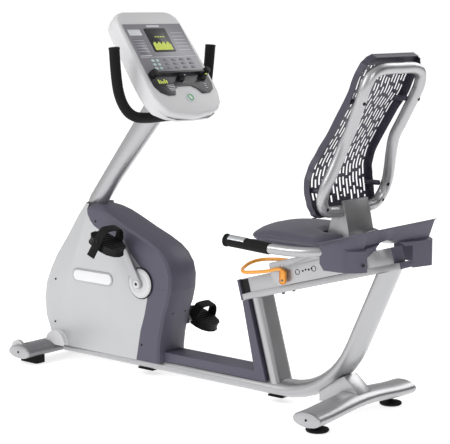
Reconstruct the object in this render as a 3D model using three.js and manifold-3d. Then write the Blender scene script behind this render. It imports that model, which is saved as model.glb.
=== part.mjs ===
// Recumbent exercise bike: a bent oval main tube on two cross feet, a drive casing with crank and
// pedals at the front, a console on a raked mast, and a seat that slides on an inclined rail.
// Millimetres, +Z up. -X is the way the rider faces, -Y is the rider's left.
import * as THREE from 'three';
import { mergeVertices } from 'three/addons/utils/BufferGeometryUtils.js';
import Module from 'manifold-3d';

const wasm = await Module();
wasm.setup();

const GAP = 0.3; // clearance left between pieces that touch

// Overall layout. X is counted from the rear feet and the whole bike is moved forward at the end.
const REAR_FOOT_TO_MIDDLE = 650;
const FRONT_FOOT_X = -1438;
const FOOT_Y = { rear: 218, front: 158 };

// Oval tubes
const MAIN_TUBE = { width: 114, height: 60, wall: 3, centreZ: 55, bendStartX: -291, bendRadius: 330 };
const STRUT_ANGLE = 65.4;
const CROSS_TUBE = { width: 114, height: 54, wall: 3, halfLength: 283, centreZ: 53, arch: 17 };
const REAR_CROSS_X = 10;
const FRONT_CROSS_X = -1426;
const FRONT_CROSS_HALF = 236;
const CAP_THICKNESS = 7;
const MAST = { depth: 76, flare: 24, width: 62, wall: 3, tilt: 38.3, footX: -1340 };

// Seat rail, in its own inclined frame: s along the rail, t square to it, t = 0 on top of the flange
const RAIL_TILT = 15.84;
const RAIL_START = { x: -457, z: 376 };
const RAIL = {
  front: -6, rear: 680, bodyRear: 654, halfFlange: 40, flangeDepth: 21.8, halfBody: 31, height: 54,
};
const POST = { s: 54, width: 95, depth: 46, wall: 3 };
const CARRIAGE = { front: 150, rear: 537, halfWidth: 50, wall: 4, bottom: 2, top: 89, levelTopZ: 574 };
const ROLLER = { radius: 14.5, halfWidth: 27, axleRadius: 5, s: [205, 408] };

// Drive
const CRANK = { x: -922, z: 364, length: 178, angle: 28, armThickness: 12, outerY: 101 };
const PEDAL = { y: 170, width: 104, length: 154, bottom: -20, top: 10, spindleRadius: 7, pitch: 22, aft: 3 };
const PULLEY_RADIUS = 100;
const FLYWHEEL = { x: -1194, z: 236, radius: 96, pulleyRadius: 25 };
const BELT_PLANE_Y = 50;
const CASING = { halfWidth: 76, wall: 3, seamZ: 352, bottomZ: 66 };

// Seat
const SEAT = { halfWidth: 200, frontX: -343, rearX: 8, bottomZ: 604, topZ: 652 };
const COLUMN_HALF = 72;
const BACK_TUBE_RADIUS = 19.5;
const HANDLE_RADIUS = 17;

// Console, in its own frame: x to the rider's right, y up the face, z out of the face
const CONSOLE_CENTRE = { x: -870, z: 1236 };
const CONSOLE_LEAN = 35.6;
const CONSOLE = { faceZ: 0, splitZ: -30, backZ: -74, wall: 3 };
const BAR_RADIUS = 19.5;

const radians = THREE.MathUtils.degToRad;

// ---------------------------------------------------------------- materials
const material = (color, roughness, metalness = 0) =>
  new THREE.MeshStandardMaterial({ color, roughness, metalness });
const silver = material(0xc0c1c3, 0.4, 0.5);
const greySatin = material(0x7b7c7f, 0.5, 0.4);
const white = material(0xdedee0, 0.45);
const violet = material(0x605c6e, 0.55);
const black = material(0x1b1b1d, 0.6);
const steel = material(0xa9abae, 0.3, 0.9);
const orange = material(0xf0a030, 0.4);
const green = material(0x3caa5a, 0.4);
const grey = material(0x7d7c86, 0.5);

// ---------------------------------------------------------------- solids
function solidOf(geometry) {
  const bare = geometry.index ? geometry.clone() : geometry;
  bare.deleteAttribute('normal');
  bare.deleteAttribute('uv');
  const merged = mergeVertices(bare, 1e-3);
  return new wasm.Manifold(new wasm.Mesh({
    numProp: 3,
    vertProperties: new Float32Array(merged.attributes.position.array),
    triVerts: new Uint32Array(merged.index.array),
  }));
}

function geometryOf(solid) {
  const mesh = solid.getMesh();
  const geometry = new THREE.BufferGeometry();
  geometry.setAttribute('position', new THREE.BufferAttribute(mesh.vertProperties, 3));
  geometry.setIndex(new THREE.BufferAttribute(mesh.triVerts, 1));
  return geometry;
}

const unite = (first, ...rest) =>
  geometryOf(rest.reduce((sum, piece) => sum.add(solidOf(piece)), solidOf(first)));
const cut = (body, ...tools) =>
  geometryOf(tools.reduce((rest, tool) => rest.subtract(solidOf(tool)), solidOf(body)));
const common = (a, b) => geometryOf(solidOf(a).intersect(solidOf(b)));

const shapeOf = (points) => new THREE.Shape(points.map(([x, y]) => new THREE.Vector2(x, y)));

// An outline drawn in X and Z, extruded over y0..y1; bevel rounds its rim outwards.
function slabY(points, y0, y1, bevel = null) {
  const rise = bevel ? bevel.rise : 0;
  const geometry = new THREE.ExtrudeGeometry(shapeOf(points), {
    depth: y1 - y0 - 2 * rise,
    bevelEnabled: Boolean(bevel),
    bevelThickness: rise,
    bevelSize: bevel ? bevel.size : 0,
    bevelSegments: bevel ? bevel.segments : 1,
    curveSegments: 12,
  });
  geometry.rotateX(Math.PI / 2);
  geometry.translate(0, y1 - rise, 0);
  return geometry;
}

// An outline drawn in X and Y, extruded over z0..z1.
function slabZ(points, z0, z1, bevel = null) {
  const rise = bevel ? bevel.rise : 0;
  const geometry = new THREE.ExtrudeGeometry(shapeOf(points), {
    depth: z1 - z0 - 2 * rise,
    bevelEnabled: Boolean(bevel),
    bevelThickness: rise,
    bevelSize: bevel ? bevel.size : 0,
    bevelSegments: bevel ? bevel.segments : 1,
    curveSegments: 12,
  });
  geometry.translate(0, 0, z0 + rise);
  return geometry;
}

function block(x0, x1, y0, y1, z0, z1) {
  const geometry = new THREE.BoxGeometry(x1 - x0, y1 - y0, z1 - z0);
  geometry.translate((x0 + x1) / 2, (y0 + y1) / 2, (z0 + z1) / 2);
  return geometry;
}

// A round solid about a line along Y; profile is a list of [radius, y].
function turnedY(profile, x, z, sides = 24) {
  const geometry = new THREE.LatheGeometry(profile.map(([r, y]) => new THREE.Vector2(r, y)), sides);
  geometry.translate(x, 0, z);
  return geometry;
}

// A round solid about a line along Z; profile is a list of [radius, z].
function turnedZ(profile, x, y, sides = 24) {
  const geometry = new THREE.LatheGeometry(profile.map(([r, z]) => new THREE.Vector2(r, z)), sides);
  geometry.rotateX(Math.PI / 2);
  geometry.translate(x, y, 0);
  return geometry;
}

const rod = (radius, y0, y1, x, z, sides = 24) =>
  turnedY([[0, y0], [radius, y0], [radius, y1], [0, y1]], x, z, sides);

function roundedRectangle(x0, x1, y0, y1, radius, steps = 3) {
  const points = [];
  const corners = [[x1 - radius, y1 - radius, 0], [x0 + radius, y1 - radius, 90],
    [x0 + radius, y0 + radius, 180], [x1 - radius, y0 + radius, 270]];
  for (const [x, y, start] of corners) {
    for (let i = 0; i <= steps; i++) {
      const angle = radians(start + (90 * i) / steps);
      points.push([x + radius * Math.cos(angle), y + radius * Math.sin(angle)]);
    }
  }
  return points;
}

// Points of an ellipse.
function ellipse(width, height, sides = 20) {
  return Array.from({ length: sides }, (_, i) => {
    const angle = (2 * Math.PI * i) / sides;
    return [(width / 2) * Math.cos(angle), (height / 2) * Math.sin(angle)];
  });
}

// Skin over rings of points. Closed = the last ring joins the first; otherwise flat ends close it.
function skin(rings, closed) {
  const count = rings[0].length;
  const positions = rings.flat().flatMap((p) => [p.x, p.y, p.z]);
  const faces = [];
  const last = closed ? rings.length : rings.length - 1;
  for (let i = 0; i < last; i++) {
    const a = i * count;
    const b = ((i + 1) % rings.length) * count;
    for (let j = 0; j < count; j++) {
      const k = (j + 1) % count;
      faces.push(a + j, a + k, b + k, a + j, b + k, b + j);
    }
  }
  if (!closed) {
    const top = (rings.length - 1) * count;
    for (let j = 1; j < count - 1; j++) faces.push(0, j + 1, j, top, top + j, top + j + 1);
  }
  const geometry = new THREE.BufferGeometry();
  geometry.setAttribute('position', new THREE.Float32BufferAttribute(positions, 3));
  geometry.setIndex(signedVolume(rings.flat(), faces) < 0 ? faces.reverse() : faces);
  return geometry;
}

function signedVolume(points, faces) {
  let sum = 0;
  for (let i = 0; i < faces.length; i += 3) {
    const [a, b, c] = [points[faces[i]], points[faces[i + 1]], points[faces[i + 2]]];
    sum += a.dot(b.clone().cross(c));
  }
  return sum;
}

// A section [across, up] carried along stations { point, across, up }.
const ringsAlong = (stations, section) => stations.map(({ point, across, up }) =>
  section.map(([a, b]) => point.clone().addScaledVector(across, a).addScaledVector(up, b)));

// An open-ended tube: the outer skin, then the inner one back to the start.
function hollowTube(stations, outer, inner) {
  const outside = ringsAlong(stations, outer);
  const inside = ringsAlong(stations, inner).reverse();
  return skin([...outside, ...inside], true);
}

// Stations of a path that stays in the X-Z plane; across is +Y and up is to the left of the travel.
function stationsInXZ(points) {
  const curve = points.map(([x, z]) => new THREE.Vector3(x, 0, z));
  return curve.map((point, i) => {
    const before = curve[Math.max(i - 1, 0)];
    const after = curve[Math.min(i + 1, curve.length - 1)];
    const along = after.clone().sub(before).normalize();
    return { point, across: new THREE.Vector3(0, 1, 0), up: new THREE.Vector3(-along.z, 0, along.x) };
  });
}

// Evenly turned points of an arc, angles in degrees.
function arc(cx, cy, radius, from, to, steps) {
  return Array.from({ length: steps + 1 }, (_, i) => {
    const angle = radians(from + ((to - from) * i) / steps);
    return [cx + radius * Math.cos(angle), cy + radius * Math.sin(angle)];
  });
}

function roundTube(points, radius, steps, sides = 12, wall = 0) {
  const curve = new THREE.CatmullRomCurve3(points.map((p) => new THREE.Vector3(...p)), false, 'centripetal');
  const shape = new THREE.Shape().absarc(0, 0, radius, 0, 2 * Math.PI);
  if (wall) shape.holes.push(new THREE.Path().absarc(0, 0, radius - wall, 0, 2 * Math.PI));
  return new THREE.ExtrudeGeometry(shape, { steps, curveSegments: sides / 2, extrudePath: curve });
}

// ---------------------------------------------------------------- scene graph
const bike = new THREE.Group();
const frameGroup = new THREE.Group(); // everything drawn with X counted from the rear feet
frameGroup.position.x = REAR_FOOT_TO_MIDDLE;
bike.add(frameGroup);

const railGroup = new THREE.Group(); // s, y, t frame of the seat rail
railGroup.position.set(RAIL_START.x, 0, RAIL_START.z);
railGroup.rotation.y = -radians(RAIL_TILT);
frameGroup.add(railGroup);

const consoleGroup = new THREE.Group(); // x right, y up the face, z out of the face
const faceUp = new THREE.Vector3(-Math.sin(radians(CONSOLE_LEAN)), 0, Math.cos(radians(CONSOLE_LEAN)));
const faceOut = new THREE.Vector3(Math.cos(radians(CONSOLE_LEAN)), 0, Math.sin(radians(CONSOLE_LEAN)));
consoleGroup.quaternion.setFromRotationMatrix(
  new THREE.Matrix4().makeBasis(new THREE.Vector3(0, 1, 0), faceUp, faceOut));
consoleGroup.position.set(CONSOLE_CENTRE.x, 0, CONSOLE_CENTRE.z);
frameGroup.add(consoleGroup);

function add(name, geometry, finish, group = frameGroup) {
  const mesh = new THREE.Mesh(geometry, finish);
  mesh.name = name;
  group.add(mesh);
  return mesh;
}

const SIDES = { left: -1, right: 1 };

// A solid drawn in the bike's frame, seen from the rail's or the console's own frame.
function inFrameOf(group, geometry) {
  group.updateMatrix();
  return geometry.clone().applyMatrix4(group.matrix.clone().invert());
}
const inBike = (group, geometry) => {
  group.updateMatrix();
  return geometry.clone().applyMatrix4(group.matrix);
};

// Top of the flange at a given x, and a point (s, t) of the rail frame as [x, z]
const railSlope = Math.tan(radians(RAIL_TILT));
const railPoint = (s, t) => [
  RAIL_START.x + s * Math.cos(radians(RAIL_TILT)) - t * Math.sin(radians(RAIL_TILT)),
  RAIL_START.z + s * Math.sin(radians(RAIL_TILT)) + t * Math.cos(radians(RAIL_TILT)),
];
const railLineZ = (x, t) => RAIL_START.z + (x - RAIL_START.x) * railSlope + t / Math.cos(radians(RAIL_TILT));

// ---------------------------------------------------------------- frame
function mainTubePath() {
  const { centreZ, bendStartX, bendRadius } = MAIN_TUBE;
  const bend = arc(bendStartX, centreZ + bendRadius, bendRadius, -90, -90 + STRUT_ANGLE, 9);
  const [x, z] = bend[bend.length - 1];
  const rise = 560 - z;
  return [[FRONT_CROSS_X + 20, centreZ], ...bend, [x + rise / Math.tan(radians(STRUT_ANGLE)), 560]];
}

const grown = (width, height, by) => ellipse(width + 2 * by, height + 2 * by, 28);

const crossLift = (y, halfLength, arch) => (arch / 2) * (1 + Math.cos((Math.PI * y) / halfLength));

function crossTube(x, halfLength, arch, grow = 0) {
  const spans = arch ? 10 : 1;
  const stations = Array.from({ length: spans + 1 }, (_, i) => {
    const y = -halfLength + (i * 2 * halfLength) / spans;
    return {
      point: new THREE.Vector3(x, y, CROSS_TUBE.centreZ + crossLift(y, halfLength, arch)),
      across: new THREE.Vector3(-1, 0, 0),
      up: new THREE.Vector3(0, 0, 1),
    };
  });
  const outer = grown(CROSS_TUBE.width, CROSS_TUBE.height, grow);
  if (grow) return skin(ringsAlong(stations, outer), false);
  return hollowTube(stations, outer, grown(CROSS_TUBE.width, CROSS_TUBE.height, -CROSS_TUBE.wall));
}

const frontCrossEnvelope = crossTube(FRONT_CROSS_X, FRONT_CROSS_HALF, 0, GAP);
const rearCrossEnvelope = crossTube(REAR_CROSS_X, CROSS_TUBE.halfLength, CROSS_TUBE.arch, GAP);
const mainTubeStations = stationsInXZ(mainTubePath());
const mainTubeEnvelope = skin(
  ringsAlong(mainTubeStations, grown(MAIN_TUBE.width, MAIN_TUBE.height, GAP)), false);
const railUnderside = inBike(railGroup, block(-100, 900, -200, 200, -RAIL.flangeDepth - GAP, 300));

function mainTube() {
  const { width, height, wall } = MAIN_TUBE;
  const tube = hollowTube(mainTubeStations, grown(width, height, 0), grown(width, height, -wall));
  return cut(tube, railUnderside, frontCrossEnvelope);
}

function frontPost() {
  const section = roundedRectangle(-POST.depth / 2, POST.depth / 2, -POST.width / 2, POST.width / 2, 20);
  const shape = shapeOf(section);
  shape.holes.push(new THREE.Path(roundedRectangle(-POST.depth / 2 + POST.wall, POST.depth / 2 - POST.wall,
    -POST.width / 2 + POST.wall, POST.width / 2 - POST.wall, 17).map(([x, y]) => new THREE.Vector2(x, y))));
  const length = 330;
  const post = new THREE.ExtrudeGeometry(shape, { depth: length, bevelEnabled: false });
  post.translate(POST.s, 0, -RAIL.flangeDepth - GAP - length);
  return cut(inBike(railGroup, post), mainTubeEnvelope);
}

const TUBE_COVER_TOP = 108;

// Moulded trim along the top of the main tube and up the front of the post.
function tubeCover() {
  const coverRear = 24;
  const outline = (inset) => [
    [-830 - inset, 60],
    [-830 - inset, TUBE_COVER_TOP - inset],
    [-398 - inset, TUBE_COVER_TOP - inset],
    railPoint(-3 + inset, -RAIL.flangeDepth - GAP),
    railPoint(coverRear - inset, -RAIL.flangeDepth - GAP),
    railPoint(coverRear - inset, -320),
  ];
  const shell = slabY(outline(0), -50, 50);
  const hollow = slabY(outline(3), -47, 47);
  const belowTube = block(-900, 0, -80, 80, -40, 74);
  return cut(shell, hollow, mainTubeEnvelope, belowTube);
}

function seatRail() {
  const { halfFlange: f, halfBody: b, flangeDepth: d, height: h } = RAIL;
  const outline = [[-f, -d], [f, -d], [f, 0], [b, 0], [b, h], [-b, h], [-b, 0], [-f, 0]];
  const shape = shapeOf(outline);
  shape.holes.push(new THREE.Path([[-b + 3, -d + 4], [b - 3, -d + 4], [b - 3, h - 3], [-b + 3, h - 3]]
    .map(([x, y]) => new THREE.Vector2(x, y))));
  const rail = new THREE.ExtrudeGeometry(shape, { depth: RAIL.rear - RAIL.front, bevelEnabled: false });
  rail.rotateX(Math.PI / 2);
  rail.rotateZ(Math.PI / 2);
  rail.translate(RAIL.front, 0, 0);
  return cut(rail, block(RAIL.bodyRear, 700, -60, 60, GAP, 80));
}

function railEndCap() {
  const { halfFlange, flangeDepth, height } = RAIL;
  const cap = block(RAIL.front - 10, RAIL.front - GAP, -halfFlange, halfFlange, -flangeDepth, height);
  const plug = block(RAIL.front - 5, RAIL.front + 25, -27, 27, -17, RAIL.height - 4);
  return unite(cap, plug);
}

function rearGusset() {
  const wedge = slabY([[-120, 44], [-10, 60], [44, 92], [-18, 146], [-120, 90]], -38, 38);
  const inside = slabY([[-130, 30], [-10, 48], [38, 92], [-20, 138], [-130, 90]], -34, 34);
  return cut(wedge, inside, mainTubeEnvelope, rearCrossEnvelope);
}

function crossEndCap(x, side, halfLength, z) {
  const plate = skin([0, CAP_THICKNESS].map((depth) => grown(CROSS_TUBE.width, CROSS_TUBE.height, -depth / 2)
    .map(([a, b]) => new THREE.Vector3(x - a, -(halfLength + GAP + depth), z + b))), false);
  const inner = 2 * CROSS_TUBE.wall + 2.4;
  const plug = skin([-24, 1].map((depth) => grown(CROSS_TUBE.width, CROSS_TUBE.height, -inner / 2)
    .map(([a, b]) => new THREE.Vector3(x - a, -(halfLength + GAP + depth), z + b))), false);
  const cap = unite(plate, plug);
  return side < 0 ? cap : mirrored(cap);
}

// The same solid on the other side of the bike.
function mirrored(geometry) {
  const copy = geometry.clone();
  copy.scale(1, -1, 1);
  const index = copy.index.array;
  for (let i = 0; i < index.length; i += 3) [index[i], index[i + 1]] = [index[i + 1], index[i]];
  return copy;
}

function rearFoot(side) {
  const lift = crossLift(FOOT_Y.rear, CROSS_TUBE.halfLength, CROSS_TUBE.arch);
  const top = CROSS_TUBE.centreZ + lift - CROSS_TUBE.height / 2 - 0.9;
  return turnedZ([[0, 0], [36, 0], [40, 4], [39, 9], [14, 15], [8, 16], [8, top], [0, top]],
    4, side * FOOT_Y.rear, 20);
}

function frontFoot(side) {
  const y = side * FOOT_Y.front;
  const pad = slabZ(roundedRectangle(FRONT_FOOT_X - 46, FRONT_FOOT_X + 50, y - 24, y + 24, 8, 2), 0, 34);
  return cut(pad, frontCrossEnvelope);
}

const WHEEL = { x: -1467, z: 54, y: 204, radius: 36, halfWidth: 11 };

function frontCross() {
  const pockets = Object.values(SIDES).map((side) => block(-1600, WHEEL.x + WHEEL.radius + 4,
    side * WHEEL.y - 19, side * WHEEL.y + 19, 0, 120));
  return cut(crossTube(FRONT_CROSS_X, FRONT_CROSS_HALF, 0), ...pockets);
}

// The end cap carries a long plug with the pocket and the bearing holes of the transport wheel.
function frontCap(side) {
  const end = FRONT_CROSS_HALF;
  const z = CROSS_TUBE.centreZ;
  const inner = 2 * CROSS_TUBE.wall + 1;
  const plate = skin([0, CAP_THICKNESS].map((depth) => grown(CROSS_TUBE.width, CROSS_TUBE.height, -depth / 2)
    .map(([a, b]) => new THREE.Vector3(FRONT_CROSS_X - a, -(end + GAP + depth), z + b))), false);
  const plug = skin([-62, 1].map((depth) => grown(CROSS_TUBE.width, CROSS_TUBE.height, -inner / 2)
    .map(([a, b]) => new THREE.Vector3(FRONT_CROSS_X - a, -(end + GAP + depth), z + b))), false);
  const [pocketOuter, pocketInner] = [-WHEEL.y - WHEEL.halfWidth - 2, -WHEEL.y + WHEEL.halfWidth + 2];
  const pocket = rod(WHEEL.radius + 3, pocketOuter, pocketInner, WHEEL.x, WHEEL.z);
  const mouth = block(-1600, WHEEL.x, pocketOuter, pocketInner, 0, 120);
  const axleHole = rod(4.3, -WHEEL.y - 21, -WHEEL.y + 21, WHEEL.x, WHEEL.z, 12);
  const cap = cut(unite(plate, plug), pocket, mouth, axleHole);
  return side < 0 ? cap : mirrored(cap);
}

function transportWheel() {
  const { radius: r, halfWidth: w, y } = WHEEL;
  return turnedY([[0, -y - 18], [4, -y - 18], [4, -y - w], [r - 5, -y - w], [r, -y - w + 4], [r, -y + w - 4],
    [r - 5, -y + w], [4, -y + w], [4, -y + 18], [0, -y + 18]], WHEEL.x, WHEEL.z, 24);
}

// ---------------------------------------------------------------- mast
const MAST_TOP_Z = 1058;
const MAST_EXIT = { x: -1228, z: 631 };

// Centre line and depth of the mast: straight and slowly deepening above the casing, bent back inside it.
function mastStations() {
  const slope = Math.tan(radians(MAST.tilt));
  const deeper = (z) => MAST.flare * Math.max(0, (z - 760) / (MAST_TOP_Z - 760));
  const axis = (z) => MAST_EXIT.x + (z - MAST_EXIT.z) * slope + deeper(z) / 2 / Math.cos(radians(MAST.tilt));
  const upper = [MAST_EXIT.z + 14, 760, 830, 900, 980, MAST_TOP_Z].map((z) => [axis(z), z]);
  const lower = [[MAST.footX, 60], [MAST.footX, 380], [-1332, 430], [-1308, 480], [-1272, 540], [-1243, 595]];
  const path = [...lower, ...upper];
  return stationsInXZ(path).map((station, i) => ({ ...station, depth: MAST.depth + deeper(path[i][1]) }));
}

const mastRings = (grow) => mastStations().map((station) =>
  ringsAlong([station], ellipse(MAST.width + 2 * grow, station.depth + 2 * grow, 24))[0]);
const mastEnvelope = skin(mastRings(GAP), false);

function mast() {
  return cut(skin([...mastRings(0), ...mastRings(-MAST.wall).reverse()], true), mainTubeEnvelope, barEnvelope);
}

// ---------------------------------------------------------------- casing
const casingFlank = [[-1204, 620], [-1247, 568], [-1303, 488], [-1364, 409], [-1396, 355], [-1422, 299],
  [-1432, 239], [-1427, 180], [-1402, 118], [-1357, 66], [-951, 60], [-846, 60], [-846, 120], [-838, 175],
  [-818, 257], [-800, 300], [-787, 350], [-784, 400], [-794, 440], [-818, 473], [-850, 497], [-904, 523],
  [-977, 551], [-1052, 583], [-1106, 604], [-1152, 616], [-1190, 620]];
const boundary = [[-1190, 700], [-1203, 620], [-1201, 600], [-1186, 576], [-1168, 559], [-1080, 516],
  [-974, 469], [-923, 422], [-898, 366], [-891, 310], [-905, 248], [-927, 181], [-951, 60]];

const frontNose = { size: 46, rise: 66, segments: 3 };
const rearCrown = { size: 18, rise: 56, segments: 3 };
const NOSE_TOP_Z = 640;

function casingShell(bevel) {
  const { halfWidth: w, wall } = CASING;
  const inner = { ...bevel, size: bevel.size - wall, rise: bevel.rise - wall };
  return cut(slabY(casingFlank, -w, w, bevel), slabY(casingFlank, -w + wall, w - wall, inner));
}

const axleOpening = rod(17, -90, 90, CRANK.x, CRANK.z, 16);
const casingFloor = block(-1600, -600, -100, 100, 0, CASING.bottomZ);

function sideCovers() {
  const front = slabY([...boundary.map(([x, z]) => [x - GAP / 2, z]), [-1600, 60], [-1600, 700]], -100, 100);
  const shell = cut(common(casingShell(frontNose), front), axleOpening, mastEnvelope, mainTubeEnvelope,
    frontCrossEnvelope, casingFloor, block(-1400, -1100, -100, 100, NOSE_TOP_Z, 800));
  const left = cut(shell, block(-1700, -600, -GAP / 2, 100, 0, 900));
  return { left, right: mirrored(left) };
}

function driveCovers() {
  const rear = slabY([...[...boundary].reverse().map(([x, z]) => [x + GAP / 2, z]), [-600, 700], [-600, 60]],
    -100, 100);
  const shell = cut(common(casingShell(rearCrown), rear), axleOpening, mastEnvelope, mainTubeEnvelope,
    tubeCoverEnvelope(), casingFloor);
  const upper = cut(shell, block(-1300, -600, -100, 100, 0, CASING.seamZ));
  const lower = cut(shell, block(-1300, -600, -100, 100, CASING.seamZ - GAP, 900));
  return { upper, lower };
}

const tubeCoverEnvelope = () => block(-831, -500, -51, 51, 60, TUBE_COVER_TOP + 1);

// Fairing where the front cross tube leaves the casing.
function frontBoot(side) {
  const boot = slabY(arc(FRONT_CROSS_X + 54, 70, 54, 190, -10, 8), -98, -CASING.halfWidth - GAP,
    { size: -12, rise: 10, segments: 2 });
  const left = cut(boot, frontCrossEnvelope, block(-1600, -1200, -200, 0, 0, CASING.bottomZ), mainTubeEnvelope);
  return side < 0 ? left : mirrored(left);
}

// ---------------------------------------------------------------- drive
function bottomBracket() {
  const plate = slabY([[-1010, 84], [-850, 84], [-880, 364], [-964, 364], [-1060, 300], [-1250, 262],
    [-1250, 212], [-1080, 220]], -6, 6);
  const shell = rod(27, -56, 34, CRANK.x, CRANK.z);
  const boss = rod(20, -9, 30, FLYWHEEL.x, FLYWHEEL.z, 16);
  const bracket = unite(plate, shell, boss);
  return cut(bracket, rod(20.3, -60, 40, CRANK.x, CRANK.z), rod(9.4, -20, 40, FLYWHEEL.x, FLYWHEEL.z, 16),
    mainTubeEnvelope);
}

const crankBearing = () => turnedY([[10.3, -55], [20, -55], [20, 33], [10.3, 33], [10.3, -55]],
  CRANK.x, CRANK.z, 20);

const crankAxle = () => rod(10, -89 + GAP, 89 - GAP, CRANK.x, CRANK.z, 16);

function drivePulley() {
  const y = BELT_PLANE_Y;
  return turnedY([[10.3, y - 12], [24, y - 12], [24, y - 7], [PULLEY_RADIUS, y - 7], [PULLEY_RADIUS, y + 7],
    [24, y + 7], [24, y + 12], [10.3, y + 12], [10.3, y - 12]], CRANK.x, CRANK.z, 32);
}

function flywheel() {
  const { radius: r, pulleyRadius: p, x, z } = FLYWHEEL;
  const y = BELT_PLANE_Y;
  return turnedY([[0, -58], [9, -58], [9, -52], [r, -52], [r, -22], [9, -22], [9, y - 9], [p, y - 9], [p, y + 9],
    [0, y + 9]], x, z, 32);
}

// Flat belt round both pulleys: the outer tangents and two arcs, less the same line closer in.
function driveBelt() {
  const dx = CRANK.x - FLYWHEEL.x;
  const dz = CRANK.z - FLYWHEEL.z;
  const heading = THREE.MathUtils.radToDeg(Math.atan2(dz, dx));
  const lean = THREE.MathUtils.radToDeg(Math.acos((PULLEY_RADIUS - FLYWHEEL.pulleyRadius) / Math.hypot(dx, dz)));
  const loop = (offset) => [
    ...arc(CRANK.x, CRANK.z, PULLEY_RADIUS + offset, heading - 180 + lean, heading + 180 - lean, 20),
    ...arc(FLYWHEEL.x, FLYWHEEL.z, FLYWHEEL.pulleyRadius + offset, heading + 180 - lean, heading + 180 + lean, 6),
  ];
  const slack = 1.2; // the facets of the pulleys reach a little past their radius on the inner line
  return cut(slabY(loop(slack + 3), BELT_PLANE_Y - 6, BELT_PLANE_Y + 6),
    slabY(loop(slack), BELT_PLANE_Y - 7, BELT_PLANE_Y + 7));
}

// Unit vector from the axle to the left pedal; the right pedal is opposite.
const crankDirection = [-Math.sin(radians(CRANK.angle)), Math.cos(radians(CRANK.angle))];
const pedalCentre = (side) => [
  CRANK.x - side * CRANK.length * crankDirection[0],
  CRANK.z - side * CRANK.length * crankDirection[1],
];

function crankArm(side) {
  const [px, pz] = pedalCentre(side);
  const [ux, uz] = [(px - CRANK.x) / CRANK.length, (pz - CRANK.z) / CRANK.length];
  const heading = THREE.MathUtils.radToDeg(Math.atan2(uz, ux));
  const outline = [...arc(CRANK.x, CRANK.z, 19, heading + 90, heading + 270, 8),
    ...arc(px, pz, 13, heading - 90, heading + 90, 8)];
  const inner = CRANK.outerY - CRANK.armThickness;
  const arm = slabY(outline, -CRANK.outerY, -inner);
  const spindle = rod(PEDAL.spindleRadius, -PEDAL.y - PEDAL.width / 2 + 8, -inner - 2, px, pz, 14);
  const left = unite(arm, spindle);
  return side < 0 ? left : mirrored(left);
}

function crankDisc(side) {
  const inner = CASING.halfWidth + 1.2;
  const outer = CRANK.outerY - CRANK.armThickness - GAP;
  const left = turnedY([[10.3, -outer], [50, -outer], [56, -outer + 5], [56, -inner], [10.3, -inner],
    [10.3, -outer]], CRANK.x, CRANK.z, 28);
  return side < 0 ? left : mirrored(left);
}

const pedalOutline = () => {
  const { length, width } = PEDAL;
  const half = width / 2;
  return [...arc(-length / 2 + half, 0, half, 90, 270, 6), ...arc(length / 2 - half, 0, half, -90, 90, 6)];
};

// Turns a piece drawn about the spindle to the pitch of the pedals, its rear end low, and puts it in place.
function pitched(geometry, px, pz) {
  geometry.translate(PEDAL.aft, 0, 0);
  geometry.rotateY(radians(PEDAL.pitch));
  geometry.translate(px, -PEDAL.y, pz);
  return geometry;
}

// Foot plate with upturned rim; the spindle runs in its bore.
function pedal(side) {
  const [px, pz] = pedalCentre(side);
  const plate = slabZ(pedalOutline(), PEDAL.bottom, PEDAL.top, { size: -4, rise: 4, segments: 1 });
  const bore = rod(PEDAL.spindleRadius + 0.5, -PEDAL.y - PEDAL.width, -PEDAL.y + PEDAL.width, px, pz, 14);
  const left = cut(pitched(plate, px, pz), bore);
  return side < 0 ? left : mirrored(left);
}

// Rubber strap: a hoop over the plate and a tail that hangs at the outer side.
function pedalStrap(side) {
  const [px, pz] = pedalCentre(side);
  const half = PEDAL.width / 2;
  const height = 58;
  const base = PEDAL.bottom + 6;
  const hoop = (grow) => [
    [half + grow, base], [half + grow, 20],
    ...arc(0, height - half + 10, half + grow, 12, 168, 8).map(([y, z]) => [y, Math.min(z, height + grow)]),
    [-half - grow, 20], [-half - grow, base],
  ];
  const outer = new THREE.ExtrudeGeometry(shapeOf(hoop(6)), { depth: 38, bevelEnabled: false });
  const inner = new THREE.ExtrudeGeometry(shapeOf(hoop(2).map(([y, z]) => [y, z === base ? base - 5 : z])),
    { depth: 60, bevelEnabled: false });
  inner.translate(0, 0, -10);
  const band = cut(outer, inner);
  band.rotateX(Math.PI / 2);
  band.rotateZ(Math.PI / 2);
  band.translate(-19, 0, 0);
  const tail = slabZ([[-17, -3], [17, -3], [17, 3], [-17, 3]], -52, 4);
  tail.rotateX(radians(-16));
  tail.translate(0, -half - 6, 2);
  const bore = rod(PEDAL.spindleRadius + 1, -PEDAL.y, 0, px, pz, 14);
  const inboard = block(-40, 40, -half - 1.4, 100, -300, 300);
  const left = cut(pitched(unite(band, cut(tail, inboard)), px, pz), bore);
  return side < 0 ? left : mirrored(left);
}

// ---------------------------------------------------------------- console
const consoleOutline = (inset) => {
  const top = 168 - inset;
  const side = 170 - inset;
  const low = 182 - inset;
  return [
    ...arc(side - 46, top - 46, 46, 0, 90, 3), ...arc(-side + 46, top - 46, 46, 90, 180, 3),
    [-low, -80], [-low, -160], ...arc(-low + 86, -186, 86 - inset * 0.2, 190, 262, 3), [0, -292 + inset],
    ...arc(low - 86, -186, 86 - inset * 0.2, 278, 350, 3), [low, -160], [low, -80],
  ];
};

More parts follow.
